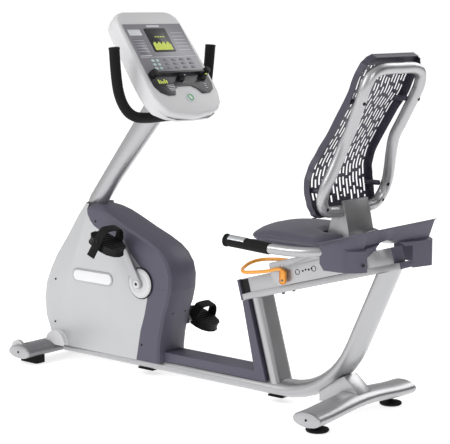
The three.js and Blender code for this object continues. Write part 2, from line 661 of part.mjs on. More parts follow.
const buttonHole = turnedZ([[0, -60], [17.4, -60], [17.4, 10], [0, 10]], 4, -216, 20);
const TOGGLES = { left: -2, right: 118 };
const TOGGLE = { y: -136, z: 8, radius: 9, halfWidth: 13 };
const toggleSlot = (u) => {
  const slot = new THREE.CylinderGeometry(TOGGLE.radius + 0.6, TOGGLE.radius + 0.6, 2 * TOGGLE.halfWidth + 1.2, 14);
  slot.rotateZ(Math.PI / 2);
  slot.translate(u, TOGGLE.y, TOGGLE.z);
  return slot;
};

const handlebarPath = () => {
  const half = [[-868, 262, 1241], [-869, 257, 1190], [-870, 249, 1130], [-870, 240, 1088], [-868, 224, 1048],
    [-866, 196, 1014], [-865, 160, 995], [-864, 110, 988]];
  const mirroredHalf = half.map(([x, y, z]) => [x, -y, z]);
  return [...mirroredHalf, [-864, 0, 988], ...half.reverse()];
};
const handlebar = () => roundTube(handlebarPath(), BAR_RADIUS, 30, 12);
const barEnvelope = roundTube(handlebarPath(), BAR_RADIUS + GAP, 30, 12);

function consoleFront() {
  const outer = slabZ(consoleOutline(12), CONSOLE.splitZ - 30, CONSOLE.faceZ, { size: 12, rise: 12, segments: 3 });
  const trimmed = cut(outer, block(-400, 400, -500, 400, CONSOLE.splitZ - 40, CONSOLE.splitZ + GAP));
  const hollow = slabZ(consoleOutline(16), CONSOLE.splitZ - 30, -4);
  return cut(trimmed, hollow, buttonHole, ...Object.values(TOGGLES).map(toggleSlot));
}

// What the slanted heel takes off the lower end of the console's back.
function consoleHeel(inset) {
  const wedge = slabY([[-330, CONSOLE.splitZ - 4 + inset], [-292 + inset, CONSOLE.splitZ - 6 + inset],
    [-214 + inset, CONSOLE.backZ], [-214 + inset, -120], [-330, -120]], -300, 300);
  wedge.rotateZ(Math.PI / 2);
  return wedge;
}

function consoleBack() {
  const shell = slabZ(consoleOutline(22), CONSOLE.backZ, CONSOLE.splitZ + 40, { size: 22, rise: 22, segments: 3 });
  const body = cut(shell, block(-400, 400, -500, 400, CONSOLE.splitZ, 200), consoleHeel(0));
  const hollow = cut(slabZ(consoleOutline(26), CONSOLE.backZ + 4, CONSOLE.splitZ + 60, { size: 22, rise: 22, segments: 1 }),
    consoleHeel(5));
  const pod = slabZ(roundedRectangle(-62, 62, -206, -56, 20), -146, CONSOLE.backZ + 6);
  const podHollow = slabZ(roundedRectangle(-56, 56, -176, -64, 14), -138, CONSOLE.backZ + 8);
  return cut(unite(cut(body, hollow), pod), podHollow, inFrameOf(consoleGroup, barEnvelope),
    inFrameOf(consoleGroup, mastEnvelope));
}

const displayPanel = () => slabZ([[-156, 108], [-156, -20], [-160, -108], [160, -108], [156, -20], [156, 108]],
  CONSOLE.faceZ + GAP, CONSOLE.faceZ + 3);

function controlPanel() {
  const outline = [[-158, -110], [158, -110], [160, -160], [150, -186], [124, -200], [82, -202],
    [64, -180], [40, -166], [-32, -166], [-56, -180], [-68, -202], [-104, -202], [-136, -188], [-156, -160]];
  const panel = slabZ([...outline].reverse(), CONSOLE.faceZ + GAP, CONSOLE.faceZ + 4);
  const ledge = slabZ(roundedRectangle(-150, 152, -118, -111, 3, 2), CONSOLE.faceZ + 3, CONSOLE.faceZ + 22);
  return cut(unite(panel, ledge), ...Object.values(TOGGLES).map(toggleSlot));
}

const startButton = () => turnedZ([[0, -10], [17, -10], [17, 2], [14.5, 4.4], [0, 4.4]], 4, -216, 20);

function toggle(u) {
  const barrel = new THREE.CylinderGeometry(TOGGLE.radius, TOGGLE.radius, 2 * TOGGLE.halfWidth, 14);
  barrel.rotateZ(Math.PI / 2);
  barrel.translate(u, TOGGLE.y, TOGGLE.z);
  const paddle = block(u - 10, u + 10, TOGGLE.y - 3, TOGGLE.y + 3, TOGGLE.z, TOGGLE.z + 22);
  return unite(barrel, paddle);
}

// ---------------------------------------------------------------- seat
function seatCarriage() {
  const { front, rear, halfWidth: w, wall, bottom, top } = CARRIAGE;
  const outer = [[front + 22, bottom], [rear, bottom], [rear, top], [front + 4, top], [front, top - 8], [front, 40]];
  const body = slabRail(outer, -w, w);
  const inside = block(front - 20, rear + 20, -w + wall, w - wall, -10, top - 5);
  const axleHoles = ROLLER.s.map((s) => rod(ROLLER.axleRadius + 0.5, -80, 80, s, RAIL.height + ROLLER.radius + 0.3, 12));
  const levelTop = inFrameOf(railGroup, block(-500, 200, -100, 100, CARRIAGE.levelTopZ, 800));
  return cut(body, inside, ...axleHoles, levelTop);
}

// slabY in the rail's frame: its points are [s, t]
const slabRail = (points, y0, y1) => slabY(points, y0, y1);

const carriageRoller = (s) => {
  const { radius: r, halfWidth: w, axleRadius: a } = ROLLER;
  const end = CARRIAGE.halfWidth - 0.5;
  return turnedY([[0, -end], [a, -end], [a, -w], [r, -w], [r, w], [a, w], [a, end], [0, end]], s,
    RAIL.height + ROLLER.radius + 0.3, 20);
};

const carriageEnvelope = inBike(railGroup, slabRail([[CARRIAGE.front - 5, 0], [CARRIAGE.rear + GAP, 0],
  [CARRIAGE.rear + GAP, CARRIAGE.top + GAP], [CARRIAGE.front - 5, CARRIAGE.top + GAP]],
-CARRIAGE.halfWidth - GAP, CARRIAGE.halfWidth + GAP));

const LEVER = { pivotX: -262, pivotZ: 455, y: 62, radius: 6.3, plateHalf: 13 };

function seatLever() {
  const y = LEVER.y;
  const loop = roundTube([[LEVER.pivotX, -y, 458], [LEVER.pivotX + 1, -y, 482], [LEVER.pivotX - 14, -y, 490],
    [-333, -y, 476], [-397, -y, 465], [-440, -y + 1, 461], [-460, -40, 467], [-462, 0, 481], [-446, 36, 490],
    [-400, y - 2, 495], [-330, y, 498], [LEVER.pivotX - 14, y, 496], [LEVER.pivotX + 1, y, 484],
    [LEVER.pivotX, y, 458]], LEVER.radius, 44, 8);
  const plates = [-1, 1].map((side) => slabY([...arc(LEVER.pivotX, LEVER.pivotZ - 4, LEVER.plateHalf, 180, 360, 6),
    [LEVER.pivotX + LEVER.plateHalf, 492], [LEVER.pivotX - LEVER.plateHalf, 486]], side < 0 ? -y - 6 : y - 3, side < 0 ? -y + 3 : y + 6));
  return unite(loop, ...plates);
}

function seatPan() {
  const outline = [[-322, 598], [-306, 580], [-250, 575], [-70, 575], [0, 592], [0, SEAT.bottomZ - GAP],
    [-322, SEAT.bottomZ - GAP]];
  const pan = slabY(outline, -158, 158, { size: -8, rise: 10, segments: 1 });
  const hollow = slabY([[-300, 604], [-290, 590], [-240, 584], [-110, 584], [-110, 604]], -60, 60);
  return cut(pan, hollow, carriageEnvelope, columnEnvelope);
}

const columnOutline = [[-77, 606], [22, 606], [17, 653], [-5, 751], [-12, 751], [-14, 698], [-52, 690]];
const columnEnvelope = block(-79, 23, -COLUMN_HALF - 1, COLUMN_HALF + 1, 560, 640);

function backrestColumn() {
  const sheet = slabY(columnOutline, -COLUMN_HALF, COLUMN_HALF);
  const inside = slabY([[-90, 590], [16, 590], [11, 652], [-9, 740], [-20, 740], [-50, 700], [-100, 690]],
    -COLUMN_HALF + 4, COLUMN_HALF - 4);
  const foot = block(-76, 20, -46, 46, CARRIAGE.levelTopZ + GAP, 612);
  return cut(unite(cut(sheet, inside), foot), backTubeEnvelope, carriageEnvelope,
    block(-72, 6, -40, 40, 560, 606));
}

function seatCushion() {
  const w = SEAT.halfWidth;
  const inset = 16;
  const outline = [
    ...roundedRectangle(SEAT.frontX + inset, SEAT.rearX - inset, -w + inset, w - inset, 44, 3),
  ];
  const pad = slabZ(outline, SEAT.bottomZ, SEAT.topZ, { size: inset, rise: 18, segments: 2 });
  return cut(pad, block(-80, 60, -COLUMN_HALF - 2, COLUMN_HALF + 2, 500, 700));
}

// Handle under the seat: two grips beside the cushion, joined by a tube behind it.
const GRIP_REAR_X = -178;
const handleHalf = [[-364, 247, 605.5], [-280, 247, 601], [GRIP_REAR_X, 246, 595], [-90, 240, 594], [-20, 222, 596],
  [28, 186, 600], [52, 140, 606], [60, 90, 612]];
const gripEnd = 2;

function seatHandle() {
  const half = handleHalf.slice(gripEnd);
  const path = [...half.map(([x, y, z]) => [x, -y, z]), [62, 0, 634], ...half.reverse()];
  return cut(roundTube(path, HANDLE_RADIUS, 26, 12), block(-400, GRIP_REAR_X + 1 + GAP, -300, 300, 500, 700));
}

function seatGrip(side) {
  const path = handleHalf.slice(0, gripEnd + 1).map(([x, y, z]) => [x, -y, z]);
  const left = cut(roundTube(path, HANDLE_RADIUS + 3, 6, 12), block(GRIP_REAR_X + 1, 0, -300, 300, 500, 700));
  return side < 0 ? left : mirrored(left);
}

// Shroud behind the seat: an open box with a leaning upper wall, a flat rim in the plane of the rail
// and an arch over the rail. Each plan starts at the middle of its open front; the left lobe is rounder
// and shorter than the right one.
const TRAY = {
  sideY: 220, wall: 4, shoulderZ: 611, rimT: 117.7,
  left: { bottomZ: 541, radius: 78, endY: 150, reach: 158 },
  right: { bottomZ: 522, radius: 50, endY: 108, reach: 184 },
};

function trayPlan(frontX, inset, lobeShift, middleX, z) {
  const half = ({ radius, endY, reach }) => {
    const cornerX = reach + lobeShift - inset;
    const sideY = TRAY.sideY - inset;
    return [[frontX, sideY], ...arc(cornerX - radius, sideY - radius, radius, 90, 15, 5), [cornerX - 22, endY]];
  };
  return [[frontX, 0], ...half(TRAY.left).map(([x, y]) => [x, -y]), [middleX - inset, 0],
    ...half(TRAY.right).reverse()].map(([x, y]) => new THREE.Vector3(x, y, z));
}

function trayBody(inset, frontX) {
  return skin([
    trayPlan(frontX, inset, 0, 116, 480),
    trayPlan(frontX, inset, 0, 116, TRAY.shoulderZ),
    trayPlan(frontX, inset, -14, 118, TRAY.shoulderZ + 6),
    trayPlan(frontX, inset, 12, 176, 690),
  ], false);
}

function trayRim() {
  const outline = (grow) => {
    const half = [[522 - grow, 226 + grow], ...arc(655, 180, 46 + grow, 90, 8, 4)];
    return [...half.map(([x, y]) => [x, -y]).reverse(), [684 + grow, 0], ...half].reverse();
  };
  const plate = slabZ(outline(6), TRAY.rimT - 3, TRAY.rimT);
  return inBike(railGroup, cut(plate, slabZ(outline(-14), 100, 130)));
}

function backTray() {
  const arch = new THREE.ExtrudeGeometry(shapeOf([[-TRAY.left.endY, 400], [TRAY.right.endY - 2, 400], [100, 597],
    ...arc(0, 498, 127, 52, 128, 6), [-132, 582], [-TRAY.left.endY, 552]]), { depth: 300, bevelEnabled: false });
  arch.rotateX(Math.PI / 2);
  arch.rotateZ(Math.PI / 2);
  const aboveRim = inBike(railGroup, block(-100, 900, -300, 300, TRAY.rimT - 1.3, 300));
  const belowLeft = slabY([[0, 480], [200, 480], [200, TRAY.left.bottomZ], [24, TRAY.left.bottomZ], [0, 572]], -300, 0);
  const belowRight = slabY([[0, 480], [200, 480], [200, TRAY.right.bottomZ], [24, TRAY.right.bottomZ], [0, 560]], 0, 300);
  const walls = cut(trayBody(0, 8), trayBody(TRAY.wall, -20), aboveRim, arch, belowLeft, belowRight);
  return cut(unite(walls, trayRim()), handleEnvelope(), block(-100, 26, -200, 200, 500, 700));
}
const handleEnvelope = () => {
  const half = handleHalf.slice(gripEnd);
  const path = [...half.map(([x, y, z]) => [x, -y, z]), [62, 0, 634], ...half.reverse()];
  return roundTube(path, HANDLE_RADIUS + 0.5, 26, 12);
};

// Backrest frame: half of the loop, from the bottom middle up to the top middle.
const backTubeHalf = [[-23, 90, 716], [-24, 146, 724], [-16, 176, 756], [-1, 181, 800], [16, 168, 850],
  [31, 154, 898], [50, 143, 955], [74, 144, 1000], [96, 150, 1046], [119, 156, 1094], [137, 158, 1136],
  [148, 142, 1172], [153, 104, 1188]];

function backTubeLoop(radius, sides = 12) {
  const points = [[-23, 0, 716], ...backTubeHalf, [155, 0, 1191],
    ...[...backTubeHalf].reverse().map(([x, y, z]) => [x, -y, z])];
  const curve = new THREE.CatmullRomCurve3(points.map((p) => new THREE.Vector3(...p)), true, 'centripetal');
  const steps = 52;
  const rings = Array.from({ length: steps }, (_, i) => {
    const point = curve.getPointAt(i / steps);
    const along = curve.getTangentAt(i / steps);
    const up = new THREE.Vector3(0.9, 0, -0.43);
    const across = new THREE.Vector3().crossVectors(up, along).normalize();
    const out = new THREE.Vector3().crossVectors(along, across);
    return ellipse(2 * radius, 2 * radius, sides)
      .map(([a, b]) => point.clone().addScaledVector(across, a).addScaledVector(out, b));
  });
  return { rings, closed: true };
}
function backrestFrame() {
  const outer = backTubeLoop(BACK_TUBE_RADIUS);
  return skin(outer.rings, true);
}
const backTubeEnvelope = skin(backTubeLoop(BACK_TUBE_RADIUS + 0.6).rings, true);

// Moulded back panel: a curved sheet with a rim, dished on its rear side.
const panelFront = [[135, 1244], [120, 1219], [104, 1190], [87, 1157], [70, 1116], [30, 1055], [-14, 982], [-53, 921],
  [-80, 863], [-87, 818], [-84, 781], [-77, 743], [-73, 706], [-70, 692]];
const panelHalfWidth = [[0, 1236], [128, 1234], [158, 1217], [166, 1180], [164, 1116], [157, 1055],
  [154, 982], [161, 921], [172, 863], [183, 818], [186, 781], [182, 743], [160, 708], [120, 696], [0, 694]];

function panelBand(front, rear) {
  const offset = (d) => panelFront.map(([x, z], i) => {
    const [x0, z0] = panelFront[Math.max(i - 1, 0)];
    const [x1, z1] = panelFront[Math.min(i + 1, panelFront.length - 1)];
    const length = Math.hypot(x1 - x0, z1 - z0);
    return [x - ((z1 - z0) / length) * d, z + ((x1 - x0) / length) * d];
  });
  return slabY([...offset(front), ...offset(rear).reverse()], -220, 220);
}

function panelFace(inset) {
  const half = panelHalfWidth.map(([y, z]) => [Math.max(y - inset, 0), z + (z > 950 ? -inset : inset)]);
  const outline = [...half, ...half.slice(1, -1).reverse().map(([y, z]) => [-y, z])];
  const shape = new THREE.ExtrudeGeometry(shapeOf(outline.reverse()), { depth: 400, bevelEnabled: false });
  shape.rotateX(Math.PI / 2);
  shape.rotateZ(Math.PI / 2);
  shape.translate(-200, 0, 0);
  return shape;
}

function backrestShell() {
  const outer = common(panelBand(0, 24), panelFace(0));
  const dish = common(panelBand(6, 40), panelFace(8));
  const bosses = [[60, 136, 1086, 114], [60, -136, 1086, 114], [-90, 162, 790, -6], [-90, -162, 790, -6]]
    .map(([x0, y, z, x1]) => {
      const boss = new THREE.CylinderGeometry(9, 9, x1 - x0, 12);
      boss.rotateZ(Math.PI / 2);
      boss.translate((x0 + x1) / 2, y, z);
      return common(boss, panelBand(1, 90));
    });
  return cut(unite(cut(outer, dish), ...bosses), backTubeEnvelope);
}

// ---------------------------------------------------------------- assembly
add('main_tube', mainTube(), silver);
add('front_post', frontPost(), silver);
add('tube_cover', tubeCover(), violet);
add('seat_rail', seatRail(), silver, railGroup);
add('rail_end_cap', railEndCap(), violet, railGroup);
add('rear_gusset', rearGusset(), silver);
add('rear_cross_tube', crossTube(REAR_CROSS_X, CROSS_TUBE.halfLength, CROSS_TUBE.arch), silver);
add('front_cross_tube', frontCross(), greySatin);
add('mast', mast(), silver);

const covers = sideCovers();
const drive = driveCovers();
add('drive_cover_upper', drive.upper, violet);
add('drive_cover_lower', drive.lower, violet);
for (const [name, side] of Object.entries(SIDES)) {
  add(`side_cover_${name}`, covers[name], white);
  add(`front_boot_${name}`, frontBoot(side), white);
  add(`rear_cap_${name}`, crossEndCap(REAR_CROSS_X, side, CROSS_TUBE.halfLength, CROSS_TUBE.centreZ), silver);
  add(`front_cap_${name}`, frontCap(side), silver);
  add(`rear_foot_${name}`, rearFoot(side), black);
  add(`front_foot_${name}`, frontFoot(side), black);
  add(`transport_wheel_${name}`, side < 0 ? transportWheel() : mirrored(transportWheel()), white);
  add(`crank_${name}`, crankArm(side), silver);
  add(`crank_disc_${name}`, crankDisc(side), white);
  add(`pedal_${name}`, pedal(side), black);
  add(`pedal_strap_${name}`, pedalStrap(side), black);
  add(`toggle_${name}`, toggle(TOGGLES[name]), black, consoleGroup);
  add(`seat_grip_${name}`, seatGrip(side), black);
}
add('bottom_bracket', bottomBracket(), greySatin);
add('crank_bearing', crankBearing(), steel);
add('crank_axle', crankAxle(), steel);
add('drive_pulley', drivePulley(), steel);
add('flywheel', flywheel(), steel);
add('drive_belt', driveBelt(), black);

add('handlebar', handlebar(), black);
add('console_front', consoleFront(), white, consoleGroup);
add('console_back', consoleBack(), white, consoleGroup);
add('display_panel', displayPanel(), grey, consoleGroup);
add('control_panel', controlPanel(), black, consoleGroup);
add('start_button', startButton(), green, consoleGroup);

add('seat_carriage', seatCarriage(), silver, railGroup);
add('carriage_roller_front', carriageRoller(ROLLER.s[0]), black, railGroup);
add('carriage_roller_rear', carriageRoller(ROLLER.s[1]), black, railGroup);
add('seat_lever', seatLever(), orange);
add('seat_pan', seatPan(), violet);
add('seat_cushion', seatCushion(), violet);
add('seat_handle', seatHandle(), silver);
add('back_tray', backTray(), violet);
add('backrest_column', backrestColumn(), silver);
add('backrest_frame', backrestFrame(), silver);
add('backrest_shell', backrestShell(), violet);

export default bike;
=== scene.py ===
import math

import bpy
from mathutils import Matrix, Vector


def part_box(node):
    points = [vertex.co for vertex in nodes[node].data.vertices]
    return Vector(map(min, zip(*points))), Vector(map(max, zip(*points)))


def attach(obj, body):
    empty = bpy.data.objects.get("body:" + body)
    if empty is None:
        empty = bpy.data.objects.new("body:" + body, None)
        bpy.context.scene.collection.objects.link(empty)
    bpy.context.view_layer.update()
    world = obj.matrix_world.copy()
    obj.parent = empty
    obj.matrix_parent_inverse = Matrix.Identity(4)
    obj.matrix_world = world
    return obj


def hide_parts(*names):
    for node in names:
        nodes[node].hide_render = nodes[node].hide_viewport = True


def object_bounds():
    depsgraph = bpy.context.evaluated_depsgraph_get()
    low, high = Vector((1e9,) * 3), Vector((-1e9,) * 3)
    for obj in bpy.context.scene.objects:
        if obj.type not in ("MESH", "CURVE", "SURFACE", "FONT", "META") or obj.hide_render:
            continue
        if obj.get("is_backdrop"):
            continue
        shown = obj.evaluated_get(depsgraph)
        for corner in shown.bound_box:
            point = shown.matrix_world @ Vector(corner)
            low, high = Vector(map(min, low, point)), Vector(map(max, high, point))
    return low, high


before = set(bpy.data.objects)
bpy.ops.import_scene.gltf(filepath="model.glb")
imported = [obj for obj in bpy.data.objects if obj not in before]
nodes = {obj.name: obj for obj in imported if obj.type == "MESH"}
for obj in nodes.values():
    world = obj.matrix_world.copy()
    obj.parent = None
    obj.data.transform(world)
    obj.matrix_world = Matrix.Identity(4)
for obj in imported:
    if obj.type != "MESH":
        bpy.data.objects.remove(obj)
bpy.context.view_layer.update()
print("frame loaded:", len(nodes), "CAD nodes")

# All lengths below are millimetres with X counted from the rear feet, as on the CAD side.
rearFootToMiddle = 650


def at(x, y, z):
    return Vector(((x + rearFootToMiddle) / 1000, y / 1000, z / 1000))


def placeFrame(origin, xAxis, yAxis, zAxis):
    # matrix that takes millimetres in a local frame to metres in the bike's frame
    turn = Matrix((xAxis, yAxis, zAxis)).transposed().to_4x4()
    return Matrix.Translation(at(*origin)) @ turn @ Matrix.Scale(0.001, 4)


railTilt = math.radians(15.84)
railFrame = placeFrame((-457, 0, 376), (math.cos(railTilt), 0, math.sin(railTilt)), (0, 1, 0),
                       (-math.sin(railTilt), 0, math.cos(railTilt)))
consoleLean = math.radians(35.6)
consoleFrame = placeFrame((-870, 0, 1236), (0, 1, 0), (-math.sin(consoleLean), 0, math.cos(consoleLean)),
                          (math.cos(consoleLean), 0, math.sin(consoleLean)))
bikeFrame = placeFrame((0, 0, 0), (1, 0, 0), (0, 1, 0), (0, 0, 1))


# ---- shader maths: a value from a node, used in plain expressions
class Wire:
    def __init__(self, paint, socket):
        self.paint = paint
        self.socket = socket

    def math(self, operation, *others):
        inputs = {0: self, **dict(enumerate(others, 1))}
        return self.paint.node("ShaderNodeMath", {"operation": operation}, inputs)

    def __add__(self, other):
        return self.math("ADD", other)

    def __radd__(self, other):
        return self.math("ADD", other)

    def __sub__(self, other):
        return self.math("SUBTRACT", other)

    def __rsub__(self, other):
        return self.paint.node("ShaderNodeMath", {"operation": "SUBTRACT"}, {0: other, 1: self})

    def __mul__(self, other):
        return self.math("MULTIPLY", other)

    def __rmul__(self, other):
        return self.math("MULTIPLY", other)


class NodeTree:
    def __init__(self, tree):
        self.tree = tree

    def plug(self, socket, value):
        if isinstance(value, Wire):
            self.tree.links.new(value.socket, socket)
        else:
            socket.default_value = value

    def node(self, kind, settings, inputs, output=0):
        made = self.tree.nodes.new(kind)
        for key, value in settings.items():
            setattr(made, key, value)
        for key, value in inputs.items():
            self.plug(made.inputs[key], value)
        return Wire(self, made.outputs[output])


class Paint(NodeTree):
    def __init__(self, name, colour, roughness, metallic=0.0, coat=0.0, coatRoughness=0.1):
        self.material = bpy.data.materials.new(name)
        self.material.use_nodes = True
        self.material.diffuse_color = (*colour, 1)
        super().__init__(self.material.node_tree)
        self.shader = self.tree.nodes["Principled BSDF"]
        self.shader.inputs["Base Color"].default_value = (*colour, 1)
        self.shader.inputs["Roughness"].default_value = roughness
        self.shader.inputs["Metallic"].default_value = metallic
        self.shader.inputs["Coat Weight"].default_value = coat
        self.shader.inputs["Coat Roughness"].default_value = coatRoughness
        self.place = Wire(self, self.tree.nodes.new("ShaderNodeTexCoord").outputs["Object"])

    def noise(self, scale, detail=3.0, roughness=0.55, place=None):
        return self.node("ShaderNodeTexNoise", {}, {"Vector": place or self.place, "Scale": scale,
                                                     "Detail": detail, "Roughness": roughness})

    def cells(self, scale, feature="F1"):
        return self.node("ShaderNodeTexVoronoi", {"feature": feature}, {"Vector": self.place, "Scale": scale})

    def stretched(self, x, y, z):
        return self.node("ShaderNodeMapping", {}, {"Vector": self.place, "Scale": (x, y, z)})

    def blend(self, amount, first, second):
        pair = [(*c, 1) if isinstance(c, tuple) and len(c) == 3 else c for c in (first, second)]
        return self.node("ShaderNodeMix", {"data_type": "RGBA"}, {0: amount, 6: pair[0], 7: pair[1]}, 2)

    def colour(self, value):
        self.plug(self.shader.inputs["Base Color"], value)

    def rough(self, value):
        self.plug(self.shader.inputs["Roughness"], value)

    def bump(self, height, strength, distance):
        inputs = {"Height": height, "Strength": strength, "Distance": distance}
        normal = self.node("ShaderNodeBump", {}, inputs)
        self.plug(self.shader.inputs["Normal"], normal)

    def glow(self, colour, strength):
        self.shader.inputs["Emission Color"].default_value = (*colour, 1)
        self.shader.inputs["Emission Strength"].default_value = strength


def flakePaint(name, colour, metallic, roughness):
    # sprayed metallic paint: fine flakes, faint orange peel and a few dull patches
    paint = Paint(name, colour, roughness, metallic, coat=0.35, coatRoughness=0.18)
    flakes = paint.noise(2600, 2.0)
    patches = paint.noise(9, 4.0)
    dark = tuple(c * 0.86 for c in colour)
    paint.colour(paint.blend(flakes * 0.5 + patches * 0.35, dark, tuple(min(1, c * 1.12) for c in colour)))
    paint.rough(patches * 0.12 + flakes * 0.06 + (roughness - 0.08))
    paint.bump(paint.noise(330, 2.0) * 0.6 + flakes * 0.4, 0.05, 0.0006)
    return paint.material


def mouldedPlastic(name, colour, roughness, grain=520, depth=0.14, mottling=0.08):
    # spark-eroded mould grain, with a slow change of tone and handled, shinier patches
    paint = Paint(name, colour, roughness)
    slow = paint.noise(6, 4.0)
    fine = paint.noise(grain, 2.0)
    paint.colour(paint.blend(slow * 0.7 + fine * 0.3, tuple(c * (1 - mottling) for c in colour),
                             tuple(min(1, c * (1 + mottling)) for c in colour)))
    paint.rough(slow * 0.14 + fine * 0.1 + (roughness - 0.12))
    pits = paint.cells(grain * 1.3)
    paint.bump(pits * 0.5 + fine * 0.5, depth, 0.0005)
    return paint.material


def ribbedRubber(name, colour, pitch):
    # foam-like rubber with faint rings left by the extruder
    paint = Paint(name, colour, 0.62)
    fine = paint.noise(900, 3.0)
    slow = paint.noise(14, 3.0)
    paint.colour(paint.blend(slow * 0.6 + fine * 0.4, tuple(c * 0.7 for c in colour),
                             tuple(c * 1.6 for c in colour)))
    paint.rough(fine * 0.2 + slow * 0.12 + 0.5)
    paint.bump(fine * 0.5 + paint.cells(pitch) * 0.5, 0.25, 0.0006)
    return paint.material


def grainedVinyl(name, colour):
    # upholstery vinyl: small leather cells, finer pores inside them, a soft sheen
    paint = Paint(name, colour, 0.5)
    cells = paint.cells(420, "DISTANCE_TO_EDGE")
    fine = paint.noise(1500, 2.0)
    slow = paint.noise(7, 3.0)
    creases = cells.math("MINIMUM", 0.16) * 6
    # painted shade: the colour darkens along the creases between the cells
    paint.colour(paint.blend(slow * 0.6 + creases * 0.4, tuple(c * 0.86 for c in colour),
                             tuple(c * 1.1 for c in colour)))
    paint.rough(0.5 - creases * 0.08 + fine * 0.12 + slow * 0.06)
    paint.bump(creases * 0.7 + fine * 0.3, 0.22, 0.0006)
    paint.shader.inputs["Sheen Weight"].default_value = 0.12
    return paint.material


def turnedSteel(name, colour, roughness):
    paint = Paint(name, colour, roughness, 0.95)
    lathe = paint.noise(700, 2.0, place=paint.stretched(1, 9, 1))
    paint.colour(paint.blend(lathe, tuple(c * 0.8 for c in colour), colour))
    paint.rough(lathe * 0.2 + (roughness - 0.1))
    paint.bump(lathe, 0.08, 0.0004)
    return paint.material


def printedFilm(name, colour, roughness=0.38):
    # polyester overlay with a satin grain
    paint = Paint(name, colour, roughness, coat=0.25, coatRoughness=0.2)
    fine = paint.noise(1400, 2.0)
    paint.colour(paint.blend(fine, tuple(c * 0.94 for c in colour), tuple(min(1, c * 1.06) for c in colour)))
    paint.rough(fine * 0.12 + (roughness - 0.06))
    paint.bump(fine, 0.05, 0.0002)
    return paint.material


finishes = {
    "silver": flakePaint("silverPaint", (0.42, 0.42, 0.43), 0.8, 0.34),
    "dullSilver": flakePaint("dullSilverPaint", (0.19, 0.19, 0.20), 0.6, 0.4),
    "white": mouldedPlastic("whitePlastic", (0.60, 0.60, 0.61), 0.40, 700, 0.06, 0.02),
    "flank": flakePaint("pearlWhite", (0.49, 0.495, 0.505), 0.25, 0.42),
    "violet": mouldedPlastic("slateViolet", (0.072, 0.067, 0.098), 0.5),
    "vinyl": grainedVinyl("slateVinyl", (0.066, 0.061, 0.090)),
    # a darker copy of the slate violet for the backrest panel: painted shade
    "panelViolet": mouldedPlastic("panelViolet", (0.040, 0.037, 0.058), 0.45),
    "black": mouldedPlastic("blackPlastic", (0.008, 0.008, 0.009), 0.5, 600, 0.2, 0.2),
    "rubber": ribbedRubber("blackRubber", (0.006, 0.006, 0.006), 700),
    "steel": turnedSteel("turnedSteel", (0.62, 0.63, 0.65), 0.3),
    "orange": flakePaint("orangePaint", (0.88, 0.36, 0.03), 0.1, 0.3),
    "film": printedFilm("greyFilm", (0.205, 0.20, 0.225)),
    "paleFilm": printedFilm("paleFilm", (0.62, 0.63, 0.66)),
    "darkFilm": printedFilm("darkFilm", (0.018, 0.018, 0.022)),
    "tealFilm": printedFilm("tealFilm", (0.42, 0.55, 0.55)),
    "lime": printedFilm("limeFilm", (0.45, 0.52, 0.02)),
    "green": printedFilm("greenFilm", (0.05, 0.42, 0.13)),
    "badge": printedFilm("blankBadge", (0.74, 0.74, 0.75)),
    "field": printedFilm("fieldFilm", (0.15, 0.15, 0.18)),
}
for name, level in (("black", 0.2), ("rubber", 0.15), ("darkFilm", 0.3)):
    finishes[name].node_tree.nodes["Principled BSDF"].inputs["Specular IOR Level"].default_value = level
# painted glow: the lime film shines a little on its own, on the printed marks, graph bars, digits and toggle
# tip
limeShader = finishes["lime"].node_tree.nodes["Principled BSDF"]
limeShader.inputs["Emission Color"].default_value = (0.5, 0.6, 0.02, 1)
limeShader.inputs["Emission Strength"].default_value = 0.3
print("finishes ready:", len(finishes))


# ---- handling of CAD nodes and new pieces
def deselectAll():
    bpy.ops.object.select_all(action="DESELECT")


def pickOnly(piece):
    deselectAll()
    piece.select_set(True)
    bpy.context.view_layer.objects.active = piece


def coat(piece, finish):
    piece.data.materials.clear()
    piece.data.materials.append(finishes[finish])


def dress(name, finish, bevel=0.0, splitAngle=32):
    # a CAD node keeps its mesh: its loose triangles are welded, its edges eased, its curves shaded smooth
    piece = nodes[name]
    coat(piece, finish)
    piece.data.polygons.foreach_set("use_smooth", [True] * len(piece.data.polygons))
    weld = piece.modifiers.new("weld", "WELD")
    weld.merge_threshold = 0.00002
    if bevel:
        ease = piece.modifiers.new("ease", "BEVEL")
        ease.width = bevel / 1000
        ease.segments = 2
        ease.limit_method = "ANGLE"
        ease.angle_limit = math.radians(38)
        ease.use_clamp_overlap = True
    split = piece.modifiers.new("split", "EDGE_SPLIT")
    split.split_angle = math.radians(splitAngle)
    split.use_edge_sharp = False


def applyAll(piece):
    pickOnly(piece)
    for modifier in list(piece.modifiers):
        bpy.ops.object.modifier_apply(modifier=modifier.name)


def settle(piece, name, body, finish, local=None, replaces=(), smooth=35):
    # the piece's place goes into its mesh; then it takes its finish and rides on its body
    pickOnly(piece)
    bpy.ops.object.transform_apply(location=True, rotation=True, scale=True)
    if local is not None:
        piece.data.transform(local)
    piece.name = name
    piece.data.name = name
    bpy.ops.object.mode_set(mode="EDIT")
    bpy.ops.mesh.select_all(action="SELECT")
    bpy.ops.mesh.remove_doubles(threshold=0.000005)
    bpy.ops.mesh.normals_make_consistent(inside=False)
    bpy.ops.object.mode_set(mode="OBJECT")
    if smooth:
        bpy.ops.object.shade_smooth_by_angle(angle=math.radians(smooth))
    coat(piece, finish)
    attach(piece, body)
    if replaces:
        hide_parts(*replaces)
    return piece


def modifier(piece, kind, **settings):
    made = piece.modifiers.new(kind.lower(), kind)
    for key, value in settings.items():
        setattr(made, key, value)
    applyAll(piece)


def joined(pieces):
    deselectAll()
    for piece in pieces:
        piece.select_set(True)
    bpy.context.view_layer.objects.active = pieces[0]
    if len(pieces) > 1:
        bpy.ops.object.join()
    return pieces[0]


